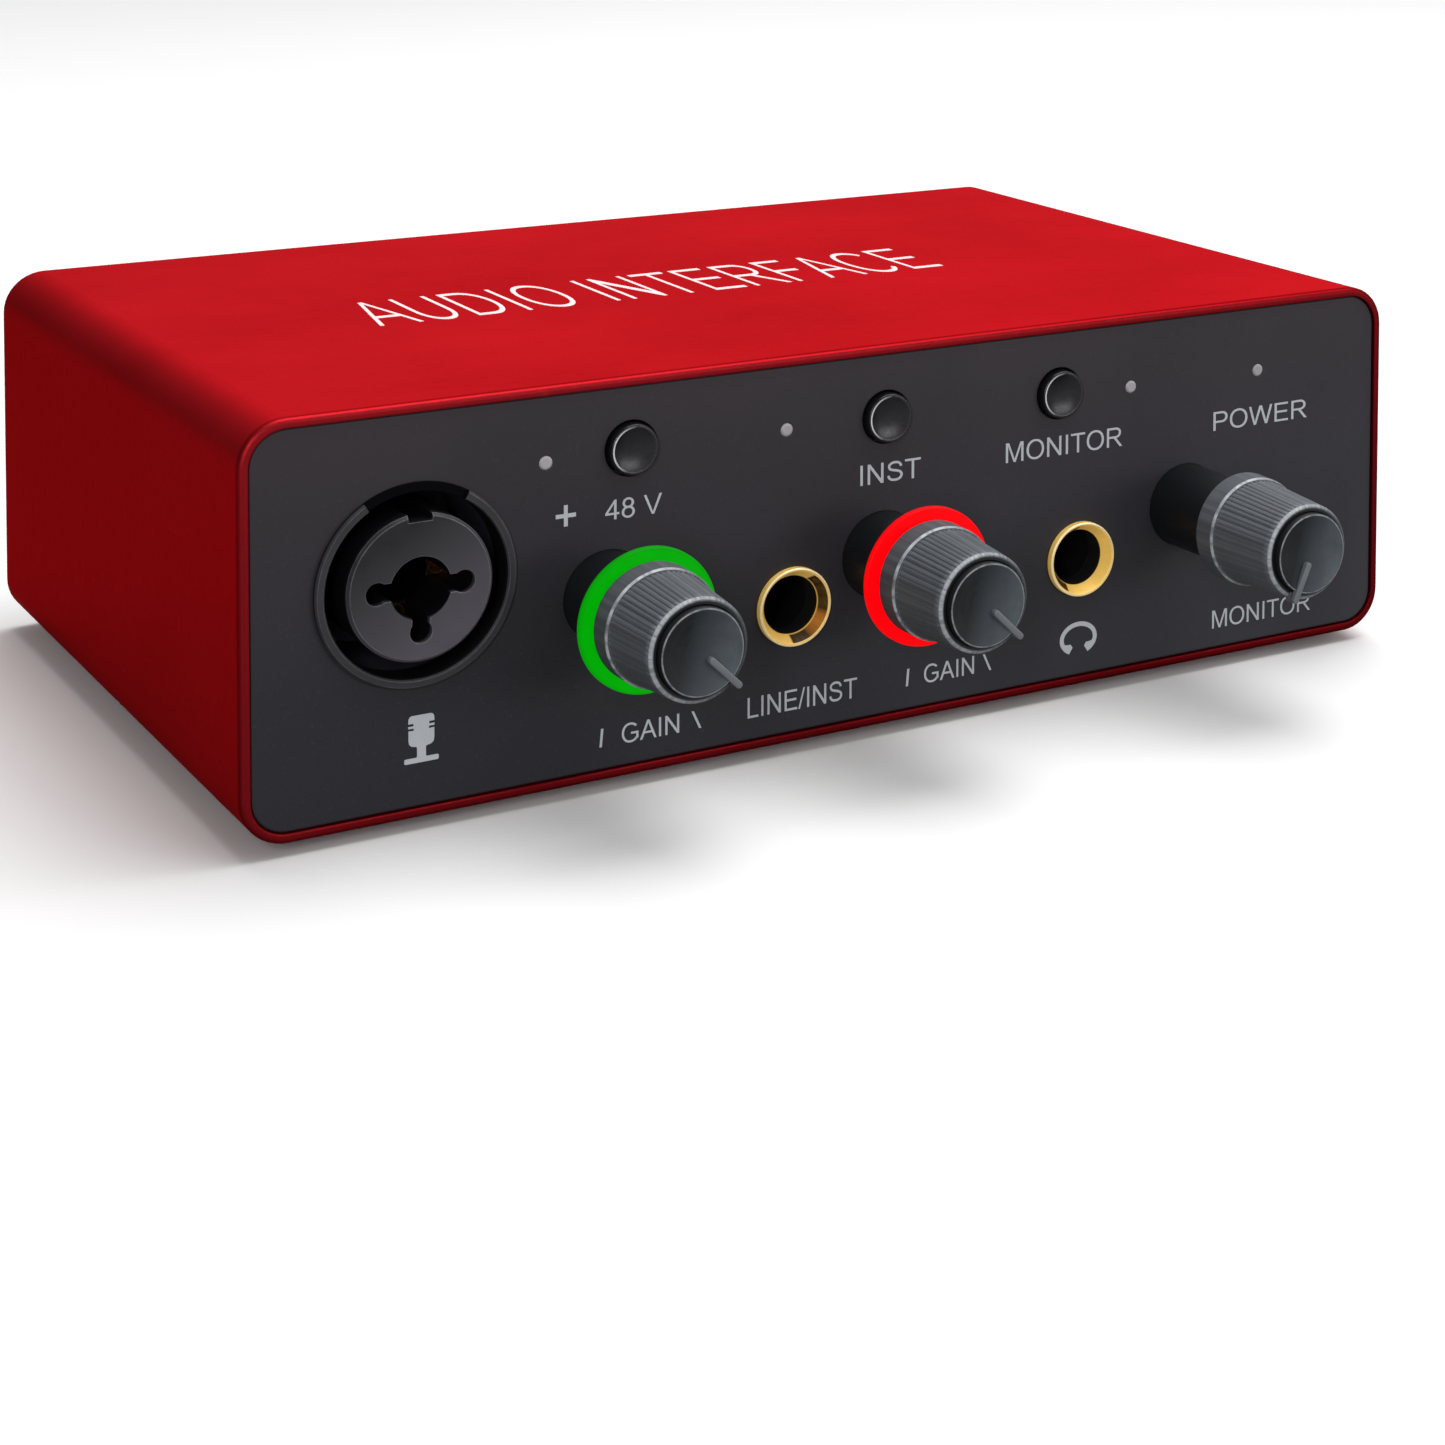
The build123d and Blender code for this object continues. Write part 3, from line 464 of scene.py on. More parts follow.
    # the ribs' shading is eased towards the plain cone
    v = k.n("ShaderNodeCombineXYZ")
    k.link(dx, v.inputs[0])
    k.link(dz, v.inputs[2])
    u = k.n("ShaderNodeVectorMath", operation="NORMALIZE")
    k.link(v.outputs[0], u.inputs[0])
    tr = k.n("ShaderNodeVectorTransform", vector_type="NORMAL", convert_from="OBJECT", convert_to="WORLD")
    k.link(u.outputs[0], tr.inputs[0])
    mx = k.n("ShaderNodeMix", data_type="VECTOR")
    ribs = k.math("MULTIPLY", k.remap(y, a.y + 0.5 * MM, a.y + 0.8 * MM, 0.0, 0.62), k.remap(y, b.y - 3.5 * MM, b.y - 3.3 * MM, 1.0, 0.0))
    k.link(k.math("MULTIPLY", ribs, k.remap(rr, 5.2 * MM, 5.25 * MM, 0.0, 1.0)), mx.inputs[0])
    k.link(bev, mx.inputs[4])
    k.link(tr.outputs[0], mx.inputs[5])
    nn = k.n("ShaderNodeVectorMath", operation="NORMALIZE")
    k.link(mx.outputs[1], nn.inputs[0])
    r = k.math("ADD", k.remap(g, 0.3, 0.7, 0.3, 0.42), k.remap(scr, 0.5, 0.75, 0.0, 0.14))
    return k.done(c, r, normal=k.bump(k.math("ADD", g, k.math("MULTIPLY", scr, 0.5)), 0.16, 0.02, normal=nn.outputs[0]), spec=0.45)


def m_button(name, node):
    """Glossy push-button cap: dark, fine wipe marks, a painted highlight crescent on its rim's left side, and painted
    light making it lighter towards its lower right.
    """
    k = NT(name)
    a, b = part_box(node)
    cx, cz = (a.x + b.x) / 2, (a.z + b.z) / 2
    x, y, z = k.xyz()
    # painted light: darker at the upper left, lighter towards the lower right
    lean = k.math("SUBTRACT", k.math("SUBTRACT", x, cx), k.math("SUBTRACT", z, cz))
    c = k.mix(k.remap(lean, -3.4 * MM, 3.4 * MM, 0.0, 1.0), srgb(11, 11, 13), srgb(43, 41, 46))
    c = k.mix(k.remap(k.noise(260, 5, 0.65), 0.35, 0.7, 0.0, 0.4), c, srgb(28, 27, 31))
    e, bev = k.edge(0.12, 0.25)
    rr = k.radial(cx, cz)
    # painted highlight: a bright crescent on the rim's left side
    rim = k.math("MULTIPLY", k.remap(rr, 2.36 * MM, 2.4 * MM, 0.0, 1.0), k.remap(rr, 2.54 * MM, 2.58 * MM, 1.0, 0.0))
    side = k.remap(k.math("SUBTRACT", k.math("MULTIPLY", k.math("SUBTRACT", z, cz), 0.25), k.math("SUBTRACT", x, cx)), 0.4 * MM, 2.3 * MM, 0.0, 1.0)
    c = k.mix(k.math("MULTIPLY", e, 0.4), c, srgb(120, 118, 122))
    c = k.mix(k.math("MULTIPLY", rim, k.math("MAXIMUM", side, 0.015)), c, srgb(214, 212, 216))
    g = k.noise(1900, 3, 0.6)
    wipe = k.noise(1.0, 4, 0.7, vec=k.stretch(300, 300, 3600), distortion=0.8)
    r = k.math("ADD", k.remap(g, 0.3, 0.7, 0.24, 0.32), k.remap(wipe, 0.55, 0.75, 0.0, 0.12))
    return k.done(c, r, normal=k.bump(g, 0.05, 0.02, normal=bev), spec=0.38)


def m_turned(name, base, cx, cz, metallic, rough, rings=5200, bump=0.15, edge_col=None):
    """A face with fine turned circles round its axis; painted light: lighter towards the lower right, a painted
    highlight ring near its rim and on its edges, painted shade on its side.
    """
    k = NT(name)
    x, y, z = k.xyz()
    dx, dz = k.math("SUBTRACT", x, cx), k.math("SUBTRACT", z, cz)
    rr = k.math("SQRT", k.math("ADD", k.math("MULTIPLY", dx, dx), k.math("MULTIPLY", dz, dz)))
    comb = k.n("ShaderNodeCombineXYZ")
    k.link(rr, comb.inputs[0])
    n = k.n("ShaderNodeTexNoise")
    n.inputs["Scale"].default_value = rings
    n.inputs["Detail"].default_value = 2
    k.link(comb.outputs[0], n.inputs["Vector"])
    cloud = k.noise(260, 5, 0.6)
    # painted light: darker at the upper left, lighter towards the lower right
    lean = k.math("SUBTRACT", k.math("MULTIPLY", dx, 1.25), k.math("MULTIPLY", dz, 0.3))
    c = k.mix(k.remap(lean, -2.6 * MM, 5 * MM, 0.0, 1.0), scaled(base, 0.2), scaled(base, 3.7))
    c = k.mix(k.remap(cloud, 0.3, 0.7, 0.0, 0.5), c, scaled(base, 0.85))
    c = k.mix(k.remap(n.outputs["Fac"], 0.35, 0.65, 0.0, 0.2), c, scaled(base, 1.5))
    # painted highlight: a broken bright ring near the rim
    band = k.math("MULTIPLY", k.remap(rr, 4.36 * MM, 4.4 * MM, 0.0, 1.0), k.remap(rr, 4.52 * MM, 4.55 * MM, 1.0, 0.0))
    ring = k.math("MULTIPLY", band, k.remap(k.sector(cx, cz, 4.0, 6.1), 0.38, 0.58, 0.45, 1.0))
    ring = k.math("MULTIPLY", ring, k.remap(lean, -5.5 * MM, 5.5 * MM, 1.0, 0.7))
    c = k.mix(ring, c, edge_col or scaled(base, 2.4))
    # painted shade on the disc's side
    c = k.mix(k.remap(rr, 4.54 * MM, 4.57 * MM, 0.0, 1.0), c, srgb(26, 28, 31))
    # painted highlight on the edges
    e, bev = k.edge(0.12, 0.2)
    c = k.mix(e, c, edge_col or scaled(base, 2.4))
    nrm = k.bump(n.outputs["Fac"], bump, 0.015, normal=bev)
    return k.done(c, k.remap(n.outputs["Fac"], 0.3, 0.7, rough[0], rough[1]), metallic=metallic, normal=nrm, spec=0.17)


def m_light(name, colour, cx, cz, strength=1.0):
    """Lit translucent ring: brightest along the middle of its width, with a faint mottle from the moulding."""
    k = NT(name)
    x, y, z = k.xyz()
    dx, dz = k.math("SUBTRACT", x, cx), k.math("SUBTRACT", z, cz)
    rr = k.math("SQRT", k.math("ADD", k.math("MULTIPLY", dx, dx), k.math("MULTIPLY", dz, dz)))
    fall = k.remap(k.math("ABSOLUTE", k.math("SUBTRACT", rr, 6.8 * MM)), 0.55 * MM, 1.0 * MM, 1.0, 0.8)
    mott = k.remap(k.noise(500, 4, 0.6), 0.3, 0.7, 0.96, 1.04)
    lp = k.n("ShaderNodeLightPath")
    s = k.math("MULTIPLY", k.math("MULTIPLY", fall, mott), k.remap(lp.outputs["Is Camera Ray"], 0.0, 1.0, 0.14 * strength, strength))
    nrm = k.bump(k.noise(2400, 2, 0.5), 0.1, 0.02)
    return k.done(scaled(colour, 0.05), k.remap(k.noise(800, 3), 0.3, 0.7, 0.4, 0.55), normal=nrm, spec=0.08, emission=colour, strength=s)


def m_ink(name, base, thin=0.10):
    """Screen-print ink: thinner and darker in tiny pinholes, very slightly raised edge."""
    k = NT(name)
    pin = k.noise(4200, 3, 0.7)
    cloud = k.noise(380, 4, 0.6)
    c = k.mix(k.remap(pin, 0.60, 0.78, 0.0, 0.55), base, scaled(base, 0.35))
    c = k.mix(k.remap(cloud, 0.3, 0.7, 0.0, thin * 2.5), c, scaled(base, 0.8))
    nrm = k.bump(pin, 0.2, 0.02)
    return k.done(c, k.remap(pin, 0.3, 0.7, 0.5, 0.66), normal=nrm, spec=0.35)


def m_pcb(name):
    k = NT(name)
    base = srgb(14, 74, 44)
    x, y, z = k.xyz()
    vec = k.stretch(420, 420, 420)
    brick = k.n("ShaderNodeTexBrick")
    brick.inputs["Scale"].default_value = 1.0
    brick.inputs["Mortar Size"].default_value = 0.03
    brick.inputs["Color1"].default_value = (*base, 1)
    brick.inputs["Color2"].default_value = (*scaled(base, 0.8), 1)
    brick.inputs["Mortar"].default_value = (*scaled(base, 1.9), 1)
    k.link(vec, brick.inputs["Vector"])
    c = k.mix(k.remap(k.noise(90, 4), 0.3, 0.7, 0, 0.4), brick.outputs["Color"], scaled(base, 0.7))
    dots = k.remap(k.voronoi(330), 0.10, 0.14, 1.0, 0.0)
    c = k.mix(dots, c, srgb(196, 190, 170))
    return k.done(c, k.remap(k.noise(700, 3), 0.3, 0.7, 0.25, 0.4), normal=k.bump(brick.outputs["Fac"], 0.2, 0.02))


M = {}
M["anodised"] = m_anodised()
M["fascia"] = m_fascia()
M["rear"] = m_plastic("rear_paint", srgb(44, 43, 47), rough=(0.44, 0.6), grain=1500, bump=0.32, edge_col=srgb(96, 95, 99), edge_gain=0.7, cloud_k=0.16, scratch=0.1, crevice_shade=srgb(26, 25, 27))
M["steel"] = m_metal("zinc_steel", srgb(168, 168, 165), rough=(0.28, 0.45), brush=(2600, 60, 60))
M["screw"] = m_metal("black_oxide", srgb(42, 42, 45), rough=(0.32, 0.5), edge_col=srgb(120, 120, 122))
M["gold"] = m_gold_ring((centre("line_jack_ring"), centre("phones_jack_ring")))
M["contact"] = m_metal("contact_plate", srgb(150, 112, 52), rough=(0.3, 0.45), tarnish=srgb(28, 22, 16))
M["collar"] = m_plastic("collar_black", srgb(16, 19, 23), rough=(0.34, 0.48), grain=3000, bump=0.15, edge_col=srgb(58, 60, 64), spec=0.45)
M["pointer"] = m_plastic("pointer_grey", srgb(106, 110, 114), rough=(0.4, 0.52), grain=3000, bump=0.15, edge_col=srgb(158, 163, 167), edge_gain=0.6, edge_r=0.12)
for tag in ("phantom", "inst", "monitor"):
    M[tag + "_button"] = m_button(tag + "_button_black", tag + "_button")
CC = centre("combo_insert")
M["combo_ring"] = m_combo("combo_ring", srgb(47, 46, 51), CC.x, CC.z, srgb(116, 114, 120), notch=(math.radians(-31.2), math.radians(31.2)), deep_y=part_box("combo_flange")[0].y + 0.55 * MM)
M["combo_insert"] = m_combo("combo_insert", srgb(64, 62, 68), CC.x, CC.z, srgb(150, 148, 156), deep_y=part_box("combo_insert")[0].y + 0.35 * MM, bore=3.25 * MM, grad=0.88, rough=(0.36, 0.5))
M["housing"] = m_plastic("housing_black", srgb(66, 62, 78), rough=(0.5, 0.65), grain=1400, bump=0.25, edge_col=srgb(58, 56, 64), spec=0.3)
M["socket"] = m_plastic("socket_black", srgb(14, 13, 16), rough=(0.5, 0.65), grain=1400, bump=0.25, edge_col=srgb(40, 40, 44), spec=0.3)
M["moulded"] = m_plastic("moulded_black", srgb(24, 24, 26), rough=(0.45, 0.6), grain=1400, bump=0.25, edge_col=srgb(66, 66, 68))
M["lens"] = m_plastic("lens_frosted", srgb(168, 162, 168), rough=(0.35, 0.5), grain=5000, bump=0.2, edge_col=srgb(196, 196, 198), edge_gain=0.4)
M["led"] = m_plastic("led_resin", srgb(228, 224, 200), rough=(0.15, 0.25), grain=3000, bump=0.1)
M["guide"] = m_plastic("guide_acrylic", srgb(214, 218, 222), rough=(0.08, 0.18), grain=1200, bump=0.08)
M["chip"] = m_plastic("chip_epoxy", srgb(30, 30, 32), rough=(0.5, 0.66), grain=2800, bump=0.3, edge_col=srgb(60, 60, 62))
M["can"] = m_metal("capacitor_can", srgb(178, 180, 184), rough=(0.22, 0.36), brush=(60, 60, 2600))
M["coil"] = m_plastic("coil_ferrite", srgb(58, 52, 46), rough=(0.6, 0.8), grain=900, bump=0.5, edge_col=srgb(96, 88, 78))
M["rubber"] = m_plastic("foot_rubber", srgb(30, 30, 30), rough=(0.72, 0.86), grain=1700, bump=0.4, edge_col=srgb(56, 56, 56), spec=0.3)
M["nut"] = m_metal("nickel_nut", srgb(196, 194, 190), rough=(0.14, 0.26), edge_col=srgb(236, 236, 232))
M["usb"] = m_metal("usb_nickel", srgb(186, 186, 188), rough=(0.18, 0.3), brush=(60, 2400, 60))
M["pcb"] = m_pcb("board_green")
M["ink"] = m_ink("label_ink", srgb(190, 194, 199))
M["ink_top"] = m_ink("top_ink", srgb(246, 222, 222), thin=0.05)
GL, GR, MO = centre("gain_left_knob"), centre("gain_right_knob"), centre("monitor_knob")
M["green"] = m_light("ring_green", srgb(0, 168, 4), GL.x, GL.z)
M["red"] = m_light("ring_red", srgb(255, 0, 8), GR.x, GR.z, 1.15)
for tag, c in (("gain_left", GL), ("gain_right", GR), ("monitor", MO)):
    M[tag + "_face"] = m_turned(tag + "_face_turned", srgb(50, 54, 58), c.x, c.z, 0.0, (0.38, 0.5), edge_col=srgb(140, 146, 150))
    M[tag + "_knob"] = m_grip(tag + "_knob_grey", srgb(99, 103, 109) if tag == "monitor" else srgb(92, 96, 101), tag + "_knob")


def which(node):
    if node == "shell": return "anodised"
    if node == "front_panel": return "fascia"
    if node == "rear_panel": return "rear"
    if node.endswith("_jack_ring"): return "gold"
    if node.endswith("_collar"): return "collar"
    if node.endswith("_knob"): return node
    if node.endswith("_knob_face"): return node[: -len("_knob_face")] + "_face"
    if node.endswith("_knob_pointer"): return "pointer"
    if node.endswith("_button"): return node
    if node == "combo_flange": return "combo_ring"
    if node == "combo_insert": return "combo_insert"
    if node == "combo_housing": return "housing"
    if node.endswith("_jack_body"): return "socket"
    if node in ("combo_contacts", "front_jack_springs", "rear_jack_springs"): return "contact"
    if node == "gain_left_light_ring": return "green"
    if node == "gain_right_light_ring": return "red"
    if node.endswith("_light_guide"): return "guide"
    if node == "led_lenses": return "lens"
    if node == "status_leds": return "led"
    if node in ("main_board", "control_board"): return "pcb"
    if node == "chips": return "chip"
    if node == "electrolytic_capacitors": return "can"
    if node == "phantom_supply_coil": return "coil"
    if node == "rubber_feet": return "rubber"
    if node == "output_jack_nuts": return "nut"
    if node == "usb_c_shell": return "usb"
    if node == "rear_panel_screws": return "screw"
    if node.endswith("_pot") or node.endswith("_shaft") or node.startswith("front_subframe"): return "steel"
    return "moulded"


for name, o in NODES.items():
    o.data.materials.clear()
    o.data.materials.append(M[which(name)])


# ------------------------------------------------------------------ mesh helpers
def new_mesh(name, verts, faces, material, body, smooth=30.0):
    me = bpy.data.meshes.new(name)
    me.from_pydata(verts, [], faces)
    me.validate()
    bm = bmesh.new()
    bm.from_mesh(me)
    bmesh.ops.remove_doubles(bm, verts=bm.verts, dist=1e-7)
    bmesh.ops.recalc_face_normals(bm, faces=bm.faces)
    bm.to_mesh(me)
    bm.free()
    if smooth:
        for p in me.polygons:
            p.use_smooth = True
        me.set_sharp_from_angle(angle=math.radians(smooth))
    me.materials.append(material)
    o = bpy.data.objects.new(name, me)
    scene.collection.objects.link(o)
    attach(o, body)
    return o


def lathe(profile, cx, cz, seg=160):
    """Closed ring of (r, y) in metres about the Y line through (cx, cz)."""
    verts, faces = [], []
    n = len(profile)
    for i in range(seg):
        a = 2 * math.pi * i / seg
        ca, sa = math.cos(a), math.sin(a)
        for r, y in profile:
            verts.append((cx + r * ca, y, cz + r * sa))
    for i in range(seg):
        j = (i + 1) % seg
        for q in range(n - 1):
            faces.append((i * n + q, i * n + q + 1, j * n + q + 1, j * n + q))
    return verts, faces


def ell(cx, cy, rx, ry, a0, a1, n=28, e=2.15):
    """Points on a slightly squared ellipse, degrees a0 to a1."""
    out = []
    for i in range(n + 1):
        a = math.radians(a0 + (a1 - a0) * i / n)
        c, q = math.cos(a), math.sin(a)
        out.append((cx + rx * math.copysign(abs(c) ** (2 / e), c), cy + ry * math.copysign(abs(q) ** (2 / e), q)))
    return out


def ribbon(pts, w):
    """Even-width outline of a smooth open line through pts, with square ends."""
    fine = []
    n = len(pts)
    for i in range(n - 1):
        p0, p1, p2, p3 = pts[max(i - 1, 0)], pts[i], pts[i + 1], pts[min(i + 2, n - 1)]
        for k in range(6):
            t = k / 6
            fine.append(tuple(0.5 * ((2 * p1[d]) + (-p0[d] + p2[d]) * t + (2 * p0[d] - 5 * p1[d] + 4 * p2[d] - p3[d]) * t * t + (-p0[d] + 3 * p1[d] - 3 * p2[d] + p3[d]) * t ** 3) for d in (0, 1)))
    fine.append(pts[-1])
    left, right = [], []
    for i, (x, y) in enumerate(fine):
        xa, ya = fine[max(i - 1, 0)]
        xb, yb = fine[min(i + 1, len(fine) - 1)]
        l = math.hypot(xb - xa, yb - ya)
        nx, ny = -(yb - ya) / l, (xb - xa) / l
        left.append((x + nx * w / 2, y + ny * w / 2))
        right.append((x - nx * w / 2, y - ny * w / 2))
    return left + right[::-1]


CAP = 716
WIDTHS = {"A": 667, "C": 722, "D": 722, "E": 667, "F": 611, "G": 778, "I": 278, "L": 556, "M": 833, "N": 722, "O": 778, "P": 667,
          "R": 722, "S": 667, "T": 611, "U": 722, "V": 667, "W": 944, "4": 556, "8": 556, "/": 278, " ": 278}


def glyph(ch, k=1.0):
    """Closed outlines of a plain sans capital or figure, 716 units tall; k is its weight."""
    s, b, H = 95 * k, 84 * k, CAP
    if ch == "I":
        m = 140
        return [[(m - s / 2, 0), (m + s / 2, 0), (m + s / 2, H), (m - s / 2, H)]]
    if ch == "L":
        return [[(75, 0), (522, 0), (522, b), (75 + s, b), (75 + s, H), (75, H)]]
    if ch in "EF":
        r, m, low = (616, 578, 0) if ch == "E" else (568, 512, None)
        foot = [(80, 0), (r, 0), (r, b), (80 + s, b)] if ch == "E" else [(80, 0), (80 + s, 0)]
        return [foot + [(80 + s, 370 - b / 2), (m, 370 - b / 2), (m, 370 + b / 2), (80 + s, 370 + b / 2), (80 + s, H - b), (r - 8, H - b), (r - 8, H), (80, H)]]
    if ch == "T":
        m = 306
        return [[(m - s / 2, 0), (m + s / 2, 0), (m + s / 2, H - b), (590, H - b), (590, H), (22, H), (22, H - b), (m - s / 2, H - b)]]
    if ch == "N":
        d = s * 1.04
        return [[(76, 0), (76 + s, 0), (76 + s, H - 154), (640 - d, 0), (640, 0), (640, H), (640 - s, H), (640 - s, 154), (76 + d, H), (76, H)]]
    if ch == "M":
        d = s * 1.42
        return [[(74, 0), (74 + s, 0), (74 + s, H - 108), (416 - s * 0.45, 0), (416 + s * 0.45, 0), (759 - s, H - 108), (759 - s, 0), (759, 0), (759, H), (759 - d, H), (416, 40 + 1.4 * s * 0.55), (74 + d, H), (74, H)]]
    if ch == "V":
        return [[(333 - s / 2, 0), (333 + s / 2, 0), (662, H), (662 - s * 1.04, H), (333, 84), (4 + s * 1.04, H), (4, H)]]
    if ch == "W":
        q = s * 1.03
        return [[(250 - s / 2, 0), (250 + s / 2, 0), (471, H - 126), (692 - s / 2, 0), (692 + s / 2, 0), (931, H), (931 - q, H), (692, 125), (471 + s * 0.6, H), (471 - s * 0.6, H), (250, 125), (12 + q, H), (12, H)]]
    if ch == "A":
        # legs meet the crossbar; the hole is the triangle above it
        f = lambda y: 0.398 * y            # lean of the outer edge
        g = s * 1.06
        y0, y1 = 217, 217 + b
        apex = 333
        top = 0.398 * H
        inner_top = (apex - g - 0) / 0.398 * 0 + (333 - g) / 0.398
        return [[(0, 0), (g, 0), (g + f(y0), y0), (666 - g - f(y0), y0), (666 - g, 0), (666, 0), (333 + s * 0.53, H), (333 - s * 0.53, H)],
                [(g + f(y1), y1), (666 - g - f(y1), y1), (333, min((333 - g) / 0.398, H - b))]]
    if ch == "O":
        return [ell(390, 358, 343, 370, 0, 360, 56)[:-1], ell(390, 358, 343 - s, 370 - b, 0, 360, 56)[:-1]]
    if ch == "C":
        return [ell(384, 358, 338, 370, 40, 322, 48) + ell(384, 358, 338 - s, 370 - b, 322, 40, 48)]
    if ch == "G":
        o = ell(396, 358, 343, 370, 42, 322, 48)
        i = ell(396, 358, 343 - s, 370 - b, 322, 42, 48)
        x1 = 716
        i = [p for p in i if not (p[0] > x1 - s and p[1] < 300)]
        yo = [p for p in o if not (p[0] > x1 and p[1] < 300)]
        return [yo + [(x1, 120), (x1, 376), (418, 376), (418, 376 - b), (x1 - s, 376 - b), (x1 - s, 150)] + i]
    if ch == "D":
        return [[(78, 0), (330, 0)] + ell(330, 358, 344, 358, -90, 90, 30)[1:-1] + [(330, H), (78, H)],
                [(78 + s, b), (322, b)] + ell(322, 358, 352 - s, 358 - b, -90, 90, 30)[1:-1] + [(322, H - b), (78 + s, H - b)]]
    if ch == "P":
        return [[(78, 0), (78 + s, 0), (78 + s, 291), (400, 291)] + ell(400, 503.5, 223, 212.5, -90, 90, 24)[1:-1] + [(400, H), (78, H)],
                [(78 + s, 291 + b), (396, 291 + b)] + ell(396, 503.5, 227 - s, 212.5 - b, -90, 90, 24)[1:-1] + [(396, H - b), (78 + s, H - b)]]
    if ch == "R":
        return [[(80, 0), (80 + s, 0), (80 + s, 318), (400 - s * 0.5, 318), (704 - s * 1.22, 0), (704, 0), (430 + s * 0.35, 322)] + ell(430, 519, 218, 197, -72, 90, 24)[1:-1] + [(430, H), (80, H)],
                [(80 + s, 318 + b), (424, 318 + b)] + ell(424, 517, 224 - s, 199 - b, -90, 90, 24)[1:-1] + [(424, H - b), (80 + s, H - b)]]
    if ch == "S":
        line = [(548, 512), (520, 588), (452, 648), (334, 672), (214, 650), (134, 588), (120, 514), (158, 440), (260, 398), (390, 366), (500, 322), (560, 252), (560, 172), (510, 96), (418, 52), (326, 44), (210, 62), (128, 120), (92, 214)]
        return [ribbon(line, (s + b) / 2)]
    if ch == "U":
        return [[(78, H), (78, 290)] + ell(360, 290, 282, 302, 180, 360, 30)[1:-1] + [(642, 290), (642, H), (642 - s, H), (642 - s, 290)] + ell(360, 290, 282 - s, 302 - b, 360, 180, 30)[1:-1] + [(78 + s, 290), (78 + s, H)]]
    if ch == "4":
        return [[(411 - s, 0), (411, 0), (411, 171), (508, 171), (508, 171 + b), (411, 171 + b), (411, H), (411 - s * 0.8, H), (12, 171 + b), (12, 171), (411 - s, 171)],
                [(411 - s, 171 + b), (411 - s, H - 148), (104, 171 + b)]]
    if ch == "8":
        def half(sign):
            out = []
            for i in range(49):
                a = math.radians(-90 + 180 * i / 48)
                y = 358 + 370 * math.sin(a)
                lo_ = 236 * math.sqrt(max(0.0, 1 - ((y - 206) / 218) ** 2)) if abs(y - 206) < 218 else 0
                up_ = 206 * math.sqrt(max(0.0, 1 - ((y - 536) / 192) ** 2)) if abs(y - 536) < 192 else 0
                out.append((278 + sign * max(lo_, up_), y))
            return out
        right = half(1)
        return [right + half(-1)[::-1][1:-1], ell(278, 537, 206 - s, 192 - b, 0, 360, 32)[:-1], ell(278, 204, 236 - s, 218 - b, 0, 360, 32)[:-1]]
    if ch == "/":
        return [[(0, -10), (s * 0.75, -10), (278, H + 10), (278 - s * 0.75, H + 10)]]
    return []


def outline_word(s, k=1.0, track=0.0):
    loops, x = [], 0.0
    for ch in s:
        for loop in glyph(ch, k):
            loops.append([(x + u, v) for u, v in loop])
        x += WIDTHS[ch] + track
    xs = [u for l in loops for u, _ in l]
    x0, x1 = min(xs), max(xs)
    return [[((u - x0) / (x1 - x0), v / CAP) for u, v in l] for l in loops]


def filled(name, loops):
    cu = bpy.data.curves.new(name, "CURVE")
    cu.dimensions = "2D"
    cu.fill_mode = "BOTH"
    for loop in loops:
        sp = cu.splines.new("POLY")
        sp.points.add(len(loop) - 1)
        for p, (u, v) in zip(sp.points, loop):
            p.co = (u, v, 0, 1)
        sp.use_cyclic_u = True
    o = bpy.data.objects.new(name + "_tmp", cu)
    scene.collection.objects.link(o)
    bpy.context.view_layer.update()
    me = bpy.data.meshes.new_from_object(o.evaluated_get(bpy.context.evaluated_depsgraph_get()))
    bpy.data.objects.remove(o)
    return me


def thicken(me, name, place, thick, material, body):
    """Flat outline to a thin closed solid; place maps (u, v, t) to the row frame."""
    bm = bmesh.new()
    bm.from_mesh(me)
    bmesh.ops.remove_doubles(bm, verts=bm.verts, dist=1e-6)
    ret = bmesh.ops.extrude_face_region(bm, geom=bm.faces[:])
    top = [g for g in ret["geom"] if isinstance(g, bmesh.types.BMVert)]
    tset = set(top)
    for v in bm.verts:
        v.co = place(v.co.x, v.co.y, thick if v in tset else 0.0)
    bmesh.ops.recalc_face_normals(bm, faces=bm.faces)
    out = bpy.data.meshes.new(name)
    bm.to_mesh(out)
    bm.free()
    bpy.data.meshes.remove(me)
    out.materials.append(material)
    o = bpy.data.objects.new(name, out)
    scene.collection.objects.link(o)
    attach(o, body)
    return o


INK_T = 0.03 * MM


def on_fascia(u, v, t):
    p = at(u, v)
    return Vector((p.x, FASCIA + 0.01 * MM - t * 1.4, p.z))


def label(name, s, cx, cz, width, height, k=0.92):
    """Printed word: centre, width and capital height in mm."""
    loops = [[(cx - width / 2 + u * width, cz - height / 2 + v * height) for u, v in l] for l in outline_word(s, k)]
    return thicken(filled(name, loops), name, on_fascia, INK_T, M["ink"], "chassis")


def flat_shape(name, loops, material):
    """Flat symbol on the fascia from closed outlines in mm; an outline inside another is a hole."""
    return thicken(filled(name, loops), name, on_fascia, INK_T, material, "chassis")


def arc(cx, cz, r, a0, a1, n=24):
    return [(cx + r * math.cos(math.radians(a0 + (a1 - a0) * i / n)), cz + r * math.sin(math.radians(a0 + (a1 - a0) * i / n))) for i in range(n + 1)]


def round_rect(x0, x1, z0, z1, r, n=6):
    pts = []
    for cx, cz, a in ((x1 - r, z1 - r, 0), (x0 + r, z1 - r, 90), (x0 + r, z0 + r, 180), (x1 - r, z0 + r, 270)):
        pts += arc(cx, cz, r, a, a + 90, n)
    return pts


